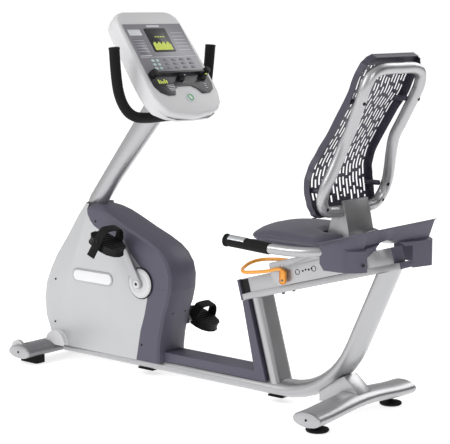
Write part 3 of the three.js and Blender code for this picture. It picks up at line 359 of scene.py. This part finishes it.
def slab(u0, u1, v0, v1, n0, n1, corner=0.0, rim=0.0, segments=4):
    # a flat plate with rounded corners and an eased top edge, in local millimetres
    deselectAll()
    bpy.ops.mesh.primitive_cube_add(size=1, location=((u0 + u1) / 2, (v0 + v1) / 2, (n0 + n1) / 2),
                                    scale=(u1 - u0, v1 - v0, n1 - n0))
    piece = bpy.context.object
    bpy.ops.object.transform_apply(location=True, rotation=True, scale=True)
    if corner:
        bpy.ops.object.mode_set(mode="EDIT")
        bpy.ops.mesh.select_all(action="DESELECT")
        bpy.ops.object.mode_set(mode="OBJECT")
        for edge in piece.data.edges:
            a, b = (piece.data.vertices[i].co for i in edge.vertices)
            edge.select = abs(a.z - b.z) > 0.9 * (n1 - n0)
        bpy.ops.object.mode_set(mode="EDIT")
        bpy.ops.mesh.select_mode(type="EDGE")
        bpy.ops.mesh.bevel(offset=corner, segments=segments, affect="EDGES")
        bpy.ops.object.mode_set(mode="OBJECT")
    if rim:
        modifier(piece, "BEVEL", width=rim, segments=2, limit_method="ANGLE", angle_limit=math.radians(50))
    return piece


def disc(radius, depth, place, axis, sides=28, rim=0.0):
    # a short cylinder whose axis points along the given direction, in local millimetres
    deselectAll()
    turn = Vector((0, 0, 1)).rotation_difference(Vector(axis)).to_euler()
    bpy.ops.mesh.primitive_cylinder_add(vertices=sides, radius=radius, depth=depth, location=place,
                                        rotation=turn)
    piece = bpy.context.object
    bpy.ops.object.transform_apply(location=True, rotation=True, scale=True)
    if rim:
        modifier(piece, "BEVEL", width=rim, segments=3, limit_method="ANGLE", angle_limit=math.radians(50))
    return piece


def ring(major, minor, place, axis, sides=40):
    deselectAll()
    turn = Vector((0, 0, 1)).rotation_difference(Vector(axis)).to_euler()
    bpy.ops.mesh.primitive_torus_add(major_radius=major, minor_radius=minor, major_segments=sides,
                                     minor_segments=12, location=place, rotation=turn)
    piece = bpy.context.object
    bpy.ops.object.transform_apply(location=True, rotation=True, scale=True)
    return piece


def roundScrew(place, axis, radius, height):
    # a round screw head with an eased rim
    return disc(radius, height, place, axis, 24, 0.25 * radius)


def smoothLine(points, steps, closed=False):
    # centripetal Catmull-Rom through the points, as the CAD tubes use
    pts = [Vector(p) for p in points]
    count = len(pts)
    spans = count if closed else count - 1
    line = []
    for span in range(spans):
        def pick(i):
            return pts[i % count] if closed else pts[max(0, min(count - 1, i))]
        p0, p1, p2, p3 = (pick(span + k) for k in (-1, 0, 1, 2))
        if not closed and span == 0:
            p0 = p1 + (p1 - p2)
        if not closed and span == spans - 1:
            p3 = p2 + (p2 - p1)
        t0 = 0.0
        t1 = t0 + max((p1 - p0).length, 1e-6) ** 0.5
        t2 = t1 + max((p2 - p1).length, 1e-6) ** 0.5
        t3 = t2 + max((p3 - p2).length, 1e-6) ** 0.5
        for i in range(steps):
            t = t1 + (t2 - t1) * i / steps
            a1 = p0 * ((t1 - t) / (t1 - t0)) + p1 * ((t - t0) / (t1 - t0))
            a2 = p1 * ((t2 - t) / (t2 - t1)) + p2 * ((t - t1) / (t2 - t1))
            a3 = p2 * ((t3 - t) / (t3 - t2)) + p3 * ((t - t2) / (t3 - t2))
            b1 = a1 * ((t2 - t) / (t2 - t0)) + a2 * ((t - t0) / (t2 - t0))
            b2 = a2 * ((t3 - t) / (t3 - t1)) + a3 * ((t - t1) / (t3 - t1))
            line.append(b1 * ((t2 - t) / (t2 - t1)) + b2 * ((t - t1) / (t2 - t1)))
    if not closed:
        line.append(pts[-1])
    return line


def tube(points, radius, steps=6, closed=False, fineness=5):
    # a bent round tube along the points, in local millimetres
    line = smoothLine(points, steps, closed)
    data = bpy.data.curves.new("tubePath", "CURVE")
    data.dimensions = "3D"
    spline = data.splines.new("POLY")
    spline.points.add(len(line) - 1)
    for point, place in zip(spline.points, line):
        point.co = (*place, 1)
    spline.use_cyclic_u = closed
    data.bevel_depth = radius
    data.bevel_resolution = fineness
    data.use_fill_caps = not closed
    piece = bpy.data.objects.new("tubePath", data)
    bpy.context.scene.collection.objects.link(piece)
    pickOnly(piece)
    bpy.ops.object.convert(target="MESH")
    return bpy.context.object


# ---- CAD nodes keep their shape and take their finish
for name in ("main_tube", "front_post", "rear_cross_tube", "mast"):
    dress(name, "silver", 0, 40)
dress("front_cross_tube", "dullSilver", 0, 40)
for name in ("seat_rail", "seat_carriage", "rear_gusset", "backrest_column"):
    dress(name, "silver", 1.2)
for side in ("left", "right"):
    dress(f"side_cover_{side}", "flank", 0, 26)
    dress(f"front_boot_{side}", "white", 0, 40)
    dress(f"rear_cap_{side}", "silver", 0.8, 40)
    dress(f"front_cap_{side}", "silver", 0.8, 40)
    dress(f"rear_foot_{side}", "rubber", 0, 30)
    dress(f"front_foot_{side}", "rubber", 1.5)
    dress(f"transport_wheel_{side}", "white", 0, 30)
    dress(f"crank_{side}", "silver", 1.5)
    dress(f"crank_disc_{side}", "white", 0, 30)
    dress(f"pedal_{side}", "black", 2.0, 40)
    dress(f"pedal_strap_{side}", "rubber", 0.8)
    dress(f"toggle_{side}", "black", 0.8)
for name in ("drive_cover_upper", "drive_cover_lower"):
    dress(name, "violet", 0, 26)
for name in ("tube_cover", "rail_end_cap", "seat_pan"):
    dress(name, "violet", 1.5)
dress("back_tray", "violet", 0, 30)
dress("console_front", "white", 0, 30)
dress("console_back", "white", 0, 30)
dress("display_panel", "film", 0.5)
dress("control_panel", "darkFilm", 0.8)
dress("start_button", "paleFilm", 0)
for name in ("crank_bearing", "crank_axle", "drive_pulley", "flywheel", "carriage_roller_front",
             "carriage_roller_rear"):
    dress(name, "steel", 0, 30)
dress("bottom_bracket", "dullSilver", 0, 30)
dress("drive_belt", "rubber", 0, 30)
print("CAD nodes dressed")


# ---- bent round tubes
handlebar = {
    "radius": 19.5,
    "half": [(-868, 262, 1241), (-869, 257, 1190), (-870, 249, 1130), (-870, 240, 1088), (-868, 224, 1048),
             (-866, 196, 1014), (-865, 160, 995), (-864, 110, 988)],
}
half = handlebar["half"]
path = [(x, -y, z) for x, y, z in half] + [(-864, 0, 988)] + half[::-1]
bar = tube(path, handlebar["radius"])
endX, endY, endZ = half[0]
caps = [disc(20.3, 9, (endX + 0.3, s * (endY + 0.3), endZ + 1), (0, s * 0.1, 1), 32, 3) for s in (-1, 1)]
settle(joined([bar, *caps]), "handlebar_foam", "frame", "rubber", bikeFrame, ["handlebar"])

seatHandle = {
    "radius": 17,
    "gripRadius": 20,
    "half": [(-364, 247, 605.5), (-280, 247, 601), (-178, 246, 595), (-90, 240, 594), (-20, 222, 596),
             (28, 186, 600), (52, 140, 606), (60, 90, 612)],
}
half = seatHandle["half"]
path = [(x, -y, z) for x, y, z in half[2:]] + [(62, 0, 634)] + half[:1:-1]
settle(tube(path, seatHandle["radius"]), "seat_handle_tube", "seat", "silver", bikeFrame,
       ["seat_handle"])
for side, s in (("left", -1), ("right", 1)):
    grip = tube([(x, s * y, z) for x, y, z in half[:3]], seatHandle["gripRadius"], 8)
    collar = disc(22.5, 9, (-361, s * 247, 605.4), (1, 0, -0.05), 32, 2.5)
    settle(joined([grip, collar]), f"seat_grip_{side}_foam", "seat", "rubber", bikeFrame,
           [f"seat_grip_{side}"])
    # metal contact of the pulse sensor: a strip of the same curve, a little proud of the grip
    strip = tube([(-345, s * 247, 604.5), (-312, s * 247, 602.8), (-276, s * 247, 600.8)],
                 seatHandle["gripRadius"] + 0.9, 6, False, 7)
    bpy.ops.object.mode_set(mode="EDIT")
    bpy.ops.mesh.select_all(action="SELECT")
    bpy.ops.mesh.bisect(plane_co=(-310, 0, 611), plane_no=(0.05, 0, 1), clear_inner=True, use_fill=True)
    bpy.ops.object.mode_set(mode="OBJECT")
    settle(strip, f"pulse_plate_{side}", "seat", "steel", bikeFrame)

backFrame = {
    "radius": 19.5,
    "half": [(-23, 90, 716), (-24, 146, 724), (-16, 176, 756), (-1, 181, 800), (16, 168, 850),
             (31, 154, 898), (50, 143, 955), (74, 144, 1000), (96, 150, 1046), (119, 156, 1094),
             (137, 158, 1136), (148, 142, 1172), (153, 104, 1188)],
}
half = backFrame["half"]
path = [(-23, 0, 716), *half, (155, 0, 1191)] + [(x, -y, z) for x, y, z in half[::-1]]
settle(tube(path, backFrame["radius"], 6, True, 7), "backrest_tube", "seat", "silver",
       bikeFrame, ["backrest_frame"], 60)

lever = {
    "radius": 6.3,
    "path": [(-262, -62, 458), (-261, -62, 482), (-276, -62, 490), (-333, -62, 476), (-397, -62, 465),
             (-440, -61, 461), (-460, -40, 467), (-462, 0, 481), (-446, 36, 490), (-400, 60, 495),
             (-330, 62, 498), (-276, 62, 496), (-261, 62, 484), (-262, 62, 458)],
}
loop = tube(lever["path"], lever["radius"], 6, False, 5)
plates = []
for s in (-1, 1):
    plate = slab(-275, -249, 438, 490, -4.5, 4.5, 9, 1)
    plate.data.transform(Matrix(((1, 0, 0, 0), (0, 0, 1, s * 63.5), (0, 1, 0, 0), (0, 0, 0, 1))))
    plates.append(plate)
settle(joined([loop, *plates]), "seat_lever_bar", "seat_lever", "orange", bikeFrame,
       ["seat_lever"], 50)
print("bent tubes done")


# ---- backrest shell: a grid bent over the profile, slots left out of it, a rim turned back
shell = {
    "profile": [(-70, 692), (-73, 706), (-77, 743), (-84, 781), (-87, 818), (-80, 863), (-53, 921),
                (-14, 982), (30, 1055), (70, 1116), (87, 1157), (104, 1190), (120, 1219), (132, 1240)],
    "widths": [(692, 122), (697, 146), (708, 164), (743, 182), (781, 186), (818, 183), (863, 172), (921, 160),
               (982, 155), (1055, 157), (1116, 164), (1180, 166), (1211, 162), (1228, 147), (1240, 122)],
    "slotColumns": 17, "slotWidth": 9.0, "rowStep": 4.0, "rim": 24, "wall": 2.0,
    "slotLength": 40, "bridge": 12, "lowestSlot": 46, "stagger": 14, "topClear": 30, "topSideClear": 60,
    "topBand": 14, "bossRadius": 9,
}


def lerpTable(table, key):
    for (a, va), (b, vb) in zip(table, table[1:]):
        if key <= b:
            share = (key - a) / (b - a)
            share = share * share * (3 - 2 * share) if vb != va else share
            return va + (vb - va) * max(0.0, min(1.0, share))
    return table[-1][1]


profile = smoothLine([(x, 0, z) for x, z in shell["profile"]], 12)
distances = [0.0]
for a, b in zip(profile, profile[1:]):
    distances.append(distances[-1] + (b - a).length)
profileLength = distances[-1]


def alongProfile(distance):
    distance = max(0.0, min(profileLength, distance))
    for i in range(1, len(distances)):
        if distance <= distances[i] or i == len(distances) - 1:
            share = (distance - distances[i - 1]) / (distances[i] - distances[i - 1])
            point = profile[i - 1].lerp(profile[i], share)
            heading = (profile[i] - profile[i - 1]).normalized()
            return point, heading


rim = shell["rim"]
columnEdges = [(-1.0, rim), (-1.0, rim / 2), (-1.0, 3.5), (-0.993, 0.6), (-0.97, 0)]
spread = shell["slotColumns"] + 1.6
for i in range(shell["slotColumns"]):
    middle = (2 * i - shell["slotColumns"] + 1) / spread
    columnEdges += [(middle - shell["slotWidth"] / 2 / 160, 0), (middle + shell["slotWidth"] / 2 / 160, 0)]
columnEdges += [(-u, depth) for u, depth in columnEdges[4::-1]]
rowCount = int(profileLength / shell["rowStep"])
rowEdges = [(0, rim), (0, rim / 2), (0, 3.5), (1.0, 0.6)]
rowEdges += [(3 + (profileLength - 6) * i / rowCount, 0) for i in range(rowCount + 1)]
rowEdges += [(profileLength - 1.0, 0.6), (profileLength, 3.5), (profileLength, rim / 2), (profileLength, rim)]

deselectAll()
bpy.ops.mesh.primitive_grid_add(x_subdivisions=len(columnEdges) - 1, y_subdivisions=len(rowEdges) - 1, size=1)
shellPiece = bpy.context.object
gridPlaces = {}
for vertex in shellPiece.data.vertices:
    column = round((vertex.co.x + 0.5) * (len(columnEdges) - 1))
    row = round((vertex.co.y + 0.5) * (len(rowEdges) - 1))
    gridPlaces[vertex.index] = (column, row)
for vertex in shellPiece.data.vertices:
    column, row = gridPlaces[vertex.index]
    u, sideDepth = columnEdges[column]
    distance, endDepth = rowEdges[row]
    point, heading = alongProfile(distance)
    backwards = Vector((heading.z, 0, -heading.x))
    width = lerpTable(shell["widths"], point.z)
    deep = max(sideDepth, endDepth)
    place = point + backwards * deep
    vertex.co = (place.x, u * width, place.z)


def inSlot(column, row):
    first = 5
    if column < first or (column - first) % 2 or (column - first) // 2 >= shell["slotColumns"]:
        return False
    index = (column - first) // 2
    distance = rowEdges[row][0]
    edgeway = abs(index - (shell["slotColumns"] - 1) / 2) / ((shell["slotColumns"] - 1) / 2)
    toTop = profileLength - distance
    if distance < shell["lowestSlot"] + shell["stagger"] * (index % 2):
        return False
    if toTop < (shell["topClear"] if edgeway < 0.8 else shell["topSideClear"]):
        return False
    if shell["topClear"] < toTop < shell["topClear"] + shell["topBand"]:
        return False
    stretch = shell["slotLength"] * (1 + 0.35 * math.sin(index * 2.4)) + shell["bridge"]
    return (distance + 31 * index) % stretch > shell["bridge"]


bpy.ops.object.mode_set(mode="EDIT")
bpy.ops.mesh.select_mode(type="FACE")
bpy.ops.mesh.select_all(action="DESELECT")
bpy.ops.object.mode_set(mode="OBJECT")
for face in shellPiece.data.polygons:
    corners = [gridPlaces[i] for i in face.vertices]
    face.select = inSlot(min(c for c, r in corners), min(r for c, r in corners))
bpy.ops.object.mode_set(mode="EDIT")
bpy.ops.mesh.delete(type="FACE")
bpy.ops.mesh.select_all(action="SELECT")
bpy.ops.mesh.remove_doubles(threshold=0.01)
bpy.ops.mesh.normals_make_consistent(inside=False)
bpy.ops.object.mode_set(mode="OBJECT")
middleFace = min(shellPiece.data.polygons, key=lambda f: (f.center - Vector((-14, 0, 982))).length)
if middleFace.normal.x > 0:
    bpy.ops.object.mode_set(mode="EDIT")
    bpy.ops.mesh.select_all(action="SELECT")
    bpy.ops.mesh.flip_normals()
    bpy.ops.object.mode_set(mode="OBJECT")
modifier(shellPiece, "SOLIDIFY", thickness=shell["wall"], offset=-1, use_even_offset=True)
bosses = []
for y, z, x0, x1 in ((136, 1086, 56, 100), (162, 790, -78, -22)):
    for s in (1, -1):
        bosses.append(disc(shell["bossRadius"], x1 - x0, ((x0 + x1) / 2, s * y, z), (1, 0, 0), 24, 1.5))
# the backrest panel takes the darker violet, as painted shade
settle(joined([shellPiece, *bosses]), "backrest_panel", "seat", "panelViolet", bikeFrame,
       ["backrest_shell"], 40)
print("backrest panel done:", len(shellPiece.data.polygons), "faces")


# ---- seat cushion: a cushion form, puffed by cloth pressure, with a seam round its side
cushion = {
    "front": -338, "rear": 4, "half": 192, "bottom": 606, "top": 640,
    "corner": 58, "voxel": 5, "cap": 10, "pressure": 4,
    "notchFront": -80, "notchHalf": 78, "rise": 6, "crown": 22, "nose": 8, "noseLength": 120,
    "hipDepth": 7, "hipX": -90, "hipLength": 70, "hipY": 150, "hipWidth": 46,
    "tuck": 0.05, "undercut": 16, "seam": 616, "seamSag": 4, "seamDepth": 1.6, "seamWidth": 2.2,
}
c = cushion
pad = slab(c["front"], c["rear"], -c["half"], c["half"], c["bottom"], c["top"], c["corner"], 12, 6)
modifier(pad, "REMESH", mode="VOXEL", voxel_size=c["voxel"])
notch = slab(c["notchFront"], 60, -c["notchHalf"], c["notchHalf"], 500, 720, 10, 0)
modifier(pad, "BOOLEAN", operation="DIFFERENCE", object=notch, solver="EXACT")
bpy.data.objects.remove(notch)
for vertex in pad.data.vertices:
    x, y, z = vertex.co
    level = (z - c["bottom"]) / (c["top"] - c["bottom"])
    side = abs(y) / c["half"]
    ahead = max(0.0, 1 - (x - c["front"]) / c["noseLength"])
    # high along the middle, falling to both sides and over the front edge, dished for the hips
    crown = c["rise"] - c["crown"] * side ** 2.4 - c["nose"] * ahead ** 2
    offHip = ((x - c["hipX"]) / c["hipLength"]) ** 2 + ((abs(y) - c["hipY"]) / c["hipWidth"]) ** 2
    vertex.co.z = z + level * (crown - c["hipDepth"] * math.exp(-offHip))
    # the side pulls in under the seam
    under = max(0.0, 1 - level * 2.2)
    vertex.co.y = y * (1 - c["tuck"] * under * side ** 2)
    vertex.co.x = x + c["undercut"] * under * ahead
pad.data.transform(bikeFrame)
modifier(pad, "REMESH", mode="VOXEL", voxel_size=c["voxel"] / 1000)
before = [v.co.copy() for v in pad.data.vertices]
cloth = pad.modifiers.new("cloth", "CLOTH")
cloth.settings.quality = 5
cloth.settings.mass = 0.3
cloth.settings.use_pressure = True
cloth.settings.uniform_pressure_force = c["pressure"]
cloth.settings.effector_weights.gravity = 0
cloth.settings.tension_stiffness = 25
cloth.settings.compression_stiffness = 25
for step in range(1, 21):
    bpy.context.scene.frame_set(step)
graph = bpy.context.evaluated_depsgraph_get()
puffed = [v.co.copy() for v in pad.evaluated_get(graph).data.vertices]
pad.modifiers.remove(cloth)
bpy.context.scene.frame_set(1)
for vertex, old, new in zip(pad.data.vertices, before, puffed):
    move = new - old
    if move.length > c["cap"] / 1000:
        move = move.normalized() * (c["cap"] / 1000)
    vertex.co = old + move
modifier(pad, "SMOOTH", factor=0.5, iterations=6)
modifier(pad, "SUBSURF", levels=1, render_levels=1)
# the seam is a narrow groove round the side, and the pad stays near the box of its CAD solid
low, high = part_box("seat_cushion")
middle = (low + high) / 2
for vertex in pad.data.vertices:
    side = abs(vertex.co.y) / (c["half"] / 1000)
    offSeam = vertex.co.z - (c["seam"] - c["seamSag"] * side ** 2) / 1000
    depth = c["seamDepth"] / 1000 * math.exp(-(offSeam * 1000 / c["seamWidth"]) ** 2)
    inward = Vector((middle.x - vertex.co.x, middle.y - vertex.co.y, 0)).normalized()
    vertex.co += inward * depth
    vertex.co.z = max(vertex.co.z, low.z + 0.0006)
    vertex.co.x = min(max(vertex.co.x, low.x - 0.006), high.x + 0.004)
    vertex.co.y = min(max(vertex.co.y, low.y - 0.004), high.y + 0.004)
settle(pad, "seat_cushion_vinyl", "seat", "vinyl", None, ["seat_cushion"], 0)
pickOnly(pad)
bpy.ops.object.shade_smooth()
print("cushion done:", len(pad.data.polygons), "faces")


# ---- console: overlay, window, keys, ledge and panel
console = {
    "display_window": ("darkFilm", (-58, 58, -16, 88), (2.6, 4.2), 5),
    "display_card": ("paleFilm", (-145, -80, 58, 84), (2.6, 3.5), 3),
    "top_strip": ("paleFilm", (-34, 34, 94, 102), (2.6, 3.4), 3),
    "left_list": ("paleFilm", (-145, -84, -32, -29), (2.6, 3.3), 1),
    "left_field": ("field", (-143, -84, -26, 44), (2.2, 3.25), 4),
}
for name, (finish, face, (under, over), corner) in console.items():
    sheet = slab(*face, under, over, corner, min(0.4, (over - under) / 3))
    settle(sheet, name, "frame", finish, consoleFrame)
bars = []
for i in range(16):
    tall = 24 + 12 * abs(math.sin(i * 0.8 + 0.5))
    bars.append(slab(-47 + i * 5.9, -42.2 + i * 5.9, -8, -8 + tall, 3.6, 4.6, 0, 0))
settle(joined(bars), "display_graph", "frame", "lime", consoleFrame)
dots = [slab(-20 + i * 14, -11 + i * 14, 48, 52, 3.6, 4.6, 1, 0) for i in range(4)]
settle(joined(dots), "display_digits", "frame", "lime", consoleFrame)
keys = []
for row in range(3):
    for column in range(2):
        left = -104 + column * 24
        low = -58 - row * 17
        keys.append(slab(left, left + 17, low, low + 11, 2.6, 4.4, 5, 0.5))
settle(joined(keys), "quick_keys", "frame", "tealFilm", consoleFrame)
keys = []
for row in range(3):
    for column in range(4):
        left = -38 + column * 44
        low = -56 - row * 17
        keys.append(slab(left, left + 28, low, low + 10, 2.6, 3.7, 3, 0.3))
settle(joined(keys), "program_keys", "frame", "field", consoleFrame)
lines = [slab(78, 140, 66 - i * 15, 67.4 - i * 15, 2.6, 3.3, 0, 0) for i in range(6)]
lines += [slab(-140, -86, 36 - i * 12, 37.2 - i * 12, 3.0, 3.6, 0, 0) for i in range(5)]
lines += [slab(-150, 150, -38, -36.8, 2.6, 3.3, 0, 0)]
settle(joined(lines), "overlay_rules", "frame", "paleFilm", consoleFrame)

bosses = [disc(15, 30, (-139, -115, 14), (0, 0, 1), 32, 4), disc(13, 30, (148, -113, 14), (0, 0, 1), 32, 4)]
settle(joined(bosses), "ledge_ends", "frame", "black", consoleFrame)
marks = [slab(-124 + i * 10, -118 + i * 10, -152, -134 - (i % 3) * 4, 3.8, 5.0, 2, 0) for i in range(5)]
settle(joined(marks), "panel_marks", "frame", "lime", consoleFrame)
marks = [slab(-92 + i * 3, -52, -161 - i * 7, -159 - i * 7, 3.8, 4.8, 0, 0) for i in range(4)]
marks += [slab(112, 124, -163 - i * 9, -161 - i * 9, 3.8, 4.8, 0, 0) for i in range(3)]
settle(joined(marks), "panel_notes", "frame", "paleFilm", consoleFrame)
wells = [ring(13.5, 2.6, (u, -136, 4.6), (0, 0, 1)) for u in (-2, 118)]
settle(joined(wells), "toggle_wells", "frame", "black", consoleFrame)
tips = slab(-4, 0, -138, -134, 28, 31.5, 1.5, 0.5)
settle(tips, "toggle_tip_left", "left_toggle", "paleFilm", consoleFrame)
tips = slab(113, 123, -138, -134, 28, 31.5, 1.5, 0.5)
settle(tips, "toggle_tip_right", "right_toggle", "lime", consoleFrame)
settle(ring(11.5, 2.2, (4, -216, 4.6), (0, 0, 1), 48), "start_ring", "start_button", "green",
       consoleFrame)
print("console done")


# ---- casing: blank badge, screws, crank trim
badge = slab(-1286, -1070, 330, 384, 0, 2.6, 26, 1, 8)
inner = slab(-1279, -1077, 337, 377, 1.6, 3.4, 19, 0.5, 8)
for side, s in (("left", -1), ("right", 1)):
    # x, z, out of the flank
    outward = Matrix(((1, 0, 0, 0), (0, 0, s, s * 76), (0, 1, 0, 0), (0, 0, 0, 1)))
    plate = badge.copy()
    plate.data = badge.data.copy()
    bpy.context.scene.collection.objects.link(plate)
    settle(plate, f"badge_rim_{side}", "frame", "silver", bikeFrame @ outward)
    face = inner.copy()
    face.data = inner.data.copy()
    bpy.context.scene.collection.objects.link(face)
    settle(face, f"badge_face_{side}", "frame", "badge", bikeFrame @ outward)
    heads = [roundScrew((x, s * 76.6, z), (0, s, 0), 4.2, 2.4)
             for x, z in ((-1384, 326), (-1390, 154), (-1159, 576), (-922, 127))]
    heads.append(roundScrew((-800, s * 34, 258), (1, 0, -0.1), 4.2, 2.4))
    settle(joined(heads), f"casing_screws_{side}", "frame", "black", bikeFrame)
    settle(ring(57.5, 2.6, (-922, s * 79.5, 364), (0, 1, 0), 64), f"crank_ring_{side}", "crankset",
           "black", bikeFrame)
    trim = [disc(15, 4, (-922, s * 102.5, 364), (0, s, 0), 32, 1.5),
            ring(36, 1.2, (-922, s * 88.9, 364), (0, 1, 0), 56)]
    settle(joined(trim), f"crank_cap_{side}", "crankset", "white", bikeFrame)
    settle(disc(6, 5, (-922, s * 103.2, 364), (0, s, 0), 24, 1), f"crank_bolt_{side}", "crankset",
           "black", bikeFrame)
for spare in (badge, inner):
    bpy.data.objects.remove(spare)

# ---- pedals: tread ribs, toe rim and the studs that hold the strap, drawn about the spindle
pedals = {
    "left": (-1005.57, -170, 521.17), "right": (-838.43, 170, 206.83),
    "pitch": 22, "straight": 25, "half": 52, "aft": 3,
}
pitch = math.radians(pedals["pitch"])
for side, s in (("left", -1), ("right", 1)):
    pedalFrame = placeFrame(pedals[side], (math.cos(pitch), 0, -math.sin(pitch)), (0, 1, 0),
                            (math.sin(pitch), 0, math.cos(pitch)))
    half = pedals["half"]
    aft = pedals["aft"]
    ribs = []
    for i in range(11):
        x = -65 + i * 13
        past = max(0, abs(x) - pedals["straight"])
        reach = (half - 5) * math.sqrt(max(0.0, 1 - (past / half) ** 2))
        ribs.append(slab(aft + x - 2, aft + x + 2, -reach, reach, 8.5, 13, 1.5, 1))
    toe = [slab(aft - 24, aft + 24, s * half - 1.4, s * half + 1.4, z, z + 3, 1, 0.6) for z in (-14, -7, 0)]
    settle(joined(ribs + toe), f"pedal_tread_{side}", f"{side}_pedal", "black", pedalFrame)
    holes = [disc(2.6, 1.6, (aft, s * (half + 9.5 + i * 3.3), -8 - i * 11.5), (0, s, -0.3), 16, 0.4)
             for i in range(4)]
    stud = disc(6, 4, (aft, s * (half + 8), 14), (0, s, 0), 20, 1.5)
    settle(joined([*holes, stud]), f"strap_studs_{side}", f"{side}_pedal", "black",
           pedalFrame)

# ---- cross tubes: black discs on the caps as painted shade of their holes, a dark band round the wheels
# black discs at the cap ends: painted shade of the holes
capHoleShades = [disc(4.5, 3, (10, s * 290.3, 53), (0, s, 0), 20, 0.6) for s in (-1, 1)]
capHoleShades += [disc(4.5, 3, (-1426, s * 243.3, 53), (0, s, 0), 20, 0.6) for s in (-1, 1)]
settle(joined(capHoleShades), "cap_holes", "frame", "black", bikeFrame)
for side, s in (("left", -1), ("right", 1)):
    # a darker band round each wheel's rim
    rimBand = ring(33, 3.6, (-1467, s * 204, 54), (0, 1, 0), 48)
    settle(rimBand, f"wheel_band_{side}", f"{side}_transport_wheel", "dullSilver", bikeFrame)

# ---- seat rail and carriage: pivots, index plate, painted shade of the end recess, bolts
pieces = [disc(4.2, 4, (-262, s * 69, 452), (0, s, 0), 20, 1) for s in (-1, 1)]
settle(joined(pieces), "lever_pivots", "seat_lever", "dullSilver", bikeFrame)
for side, s in (("left", -1), ("right", 1)):
    # a thin black sheet on each side of the rail body at its front end: painted shade of the recess
    recess = slab(-5, 28, s * 31.2 - 0.8, s * 31.2 + 0.8, 2, 51, 1, 0.3)
    settle(recess, f"rail_recess_shade_{side}", "frame", "black", railFrame)
    marks = [disc(3.4, 2.4, (292 + 13 * i, s * 50.4, 38 + 2 * (i % 2)), (0, s, 0), 20, 0.8) for i in range(4)]
    marks += [ring(9, 1.1, (along, s * 50.2, 38), (0, 1, 0), 32) for along in (340, 268)]
    settle(joined(marks), f"carriage_bolts_{side}", "seat", "black", railFrame)
railCaps = {
    "rail_rear_cap": (680.4, 684, -40, 40, -21.8, 0),
    "rail_body_cap": (654.4, 658, -31, 31, 0.6, 54),
}
for name, box in railCaps.items():
    settle(slab(*box, 1, 0.5), name, "frame", "violet", railFrame)
# the carriage cap leaves room for the rail body that passes through it
settle(joined([slab(537.4, 541, -50, 50, 57, 70, 1, 0.5), slab(537.4, 541, -50, -35, 2, 56.6, 1, 0.5),
               slab(537.4, 541, 35, 50, 2, 56.6, 1, 0.5)]),
       "carriage_rear_cap", "seat", "violet", railFrame)
under = [disc(6, 6, (172, s * 30, -24.6), (0, 0, 1), 6, 1) for s in (-1, 1)]
settle(joined(under), "flange_bolts", "frame", "black", railFrame)

# ---- backrest bolts, tray screws
bolts = []
for y, z, x in ((148, 1086, 134), (158, 790, 12), (150, 736, -4)):
    for s in (-1, 1):
        bolts.append(disc(5.5, 7, (x, s * (y + 12), z - 4), (1, s * 0.6, -0.4), 24, 1.5))
settle(joined(bolts), "backrest_bolts", "seat", "black", bikeFrame)
screws = [disc(4.6, 4, (155, s * 182, 566), (1, s * 0.3, 0), 24, 1) for s in (-1, 1)]
settle(joined(screws), "tray_screws", "seat", "black", bikeFrame)
pads = [slab(-983, -907, -34, 34, 21, 27.2, 4, 1), slab(-351, -286, -34, 34, 21, 27.2, 4, 1)]
settle(joined(pads), "tube_pads", "frame", "rubber", bikeFrame)
print("trim done")


# ---- floor, light and camera
deselectAll()
bpy.ops.mesh.primitive_plane_add(size=60, location=(0, 0, -0.0005))
floor = bpy.context.object
floor.name = "floor"
floorPaint = Paint("paleFloor", (0.9, 0.9, 0.9), 0.7)
floorPaint.glow((1, 1, 1), 0.6)
floor.data.materials.append(floorPaint.material)
floor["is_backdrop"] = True

# plain white to look at; as light, brighter from above and from the rider's left front
world = bpy.data.worlds.new("studio")
bpy.context.scene.world = world
world.use_nodes = True
sky = NodeTree(world.node_tree)
direction = sky.node("ShaderNodeTexCoord", {}, {})
towards = (-0.42, -0.30, 0.42)
brightSide = sky.node("ShaderNodeVectorMath", {"operation": "DOT_PRODUCT"}, {0: direction, 1: towards}, 1)
skyLight = (brightSide + 0.42).math("MAXIMUM", 0.12) * 0.8
seen = sky.node("ShaderNodeLightPath", {}, {})
strength = skyLight + seen * (1 - skyLight)
background = world.node_tree.nodes["Background"]
background.inputs["Color"].default_value = (1, 1, 1, 1)
sky.plug(background.inputs["Strength"], strength)

lights = {
    "key": {"place": (-1.6, -4.2, 3.6), "size": 2.4, "power": 95},
    "side": {"place": (4.2, -1.2, 2.6), "size": 2.0, "power": 45},
    "rear": {"place": (1.0, 4.0, 3.2), "size": 2.6, "power": 60},
}
for name, light in lights.items():
    data = bpy.data.lights.new(name, "AREA")
    data.energy = light["power"]
    data.size = light["size"]
    lamp = bpy.data.objects.new(name, data)
    lamp.location = light["place"]
    lamp.rotation_euler = (Vector((-0.1, 0, 0.6)) - lamp.location).to_track_quat("-Z", "Y").to_euler()
    bpy.context.scene.collection.objects.link(lamp)

cameraData = bpy.data.cameras.new("camera")
cameraData.sensor_width = 36
cameraData.lens = 116.9
camera = bpy.data.objects.new("camera", cameraData)
camera.location = (2.772 + rearFootToMiddle / 1000, -4.004, 1.380)
camera.rotation_euler = (math.radians(90 - 8.29), 0, math.radians(39.9))
bpy.context.scene.collection.objects.link(camera)
bpy.context.scene.camera = camera
bpy.context.scene.view_settings.view_transform = "Standard"

low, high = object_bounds()
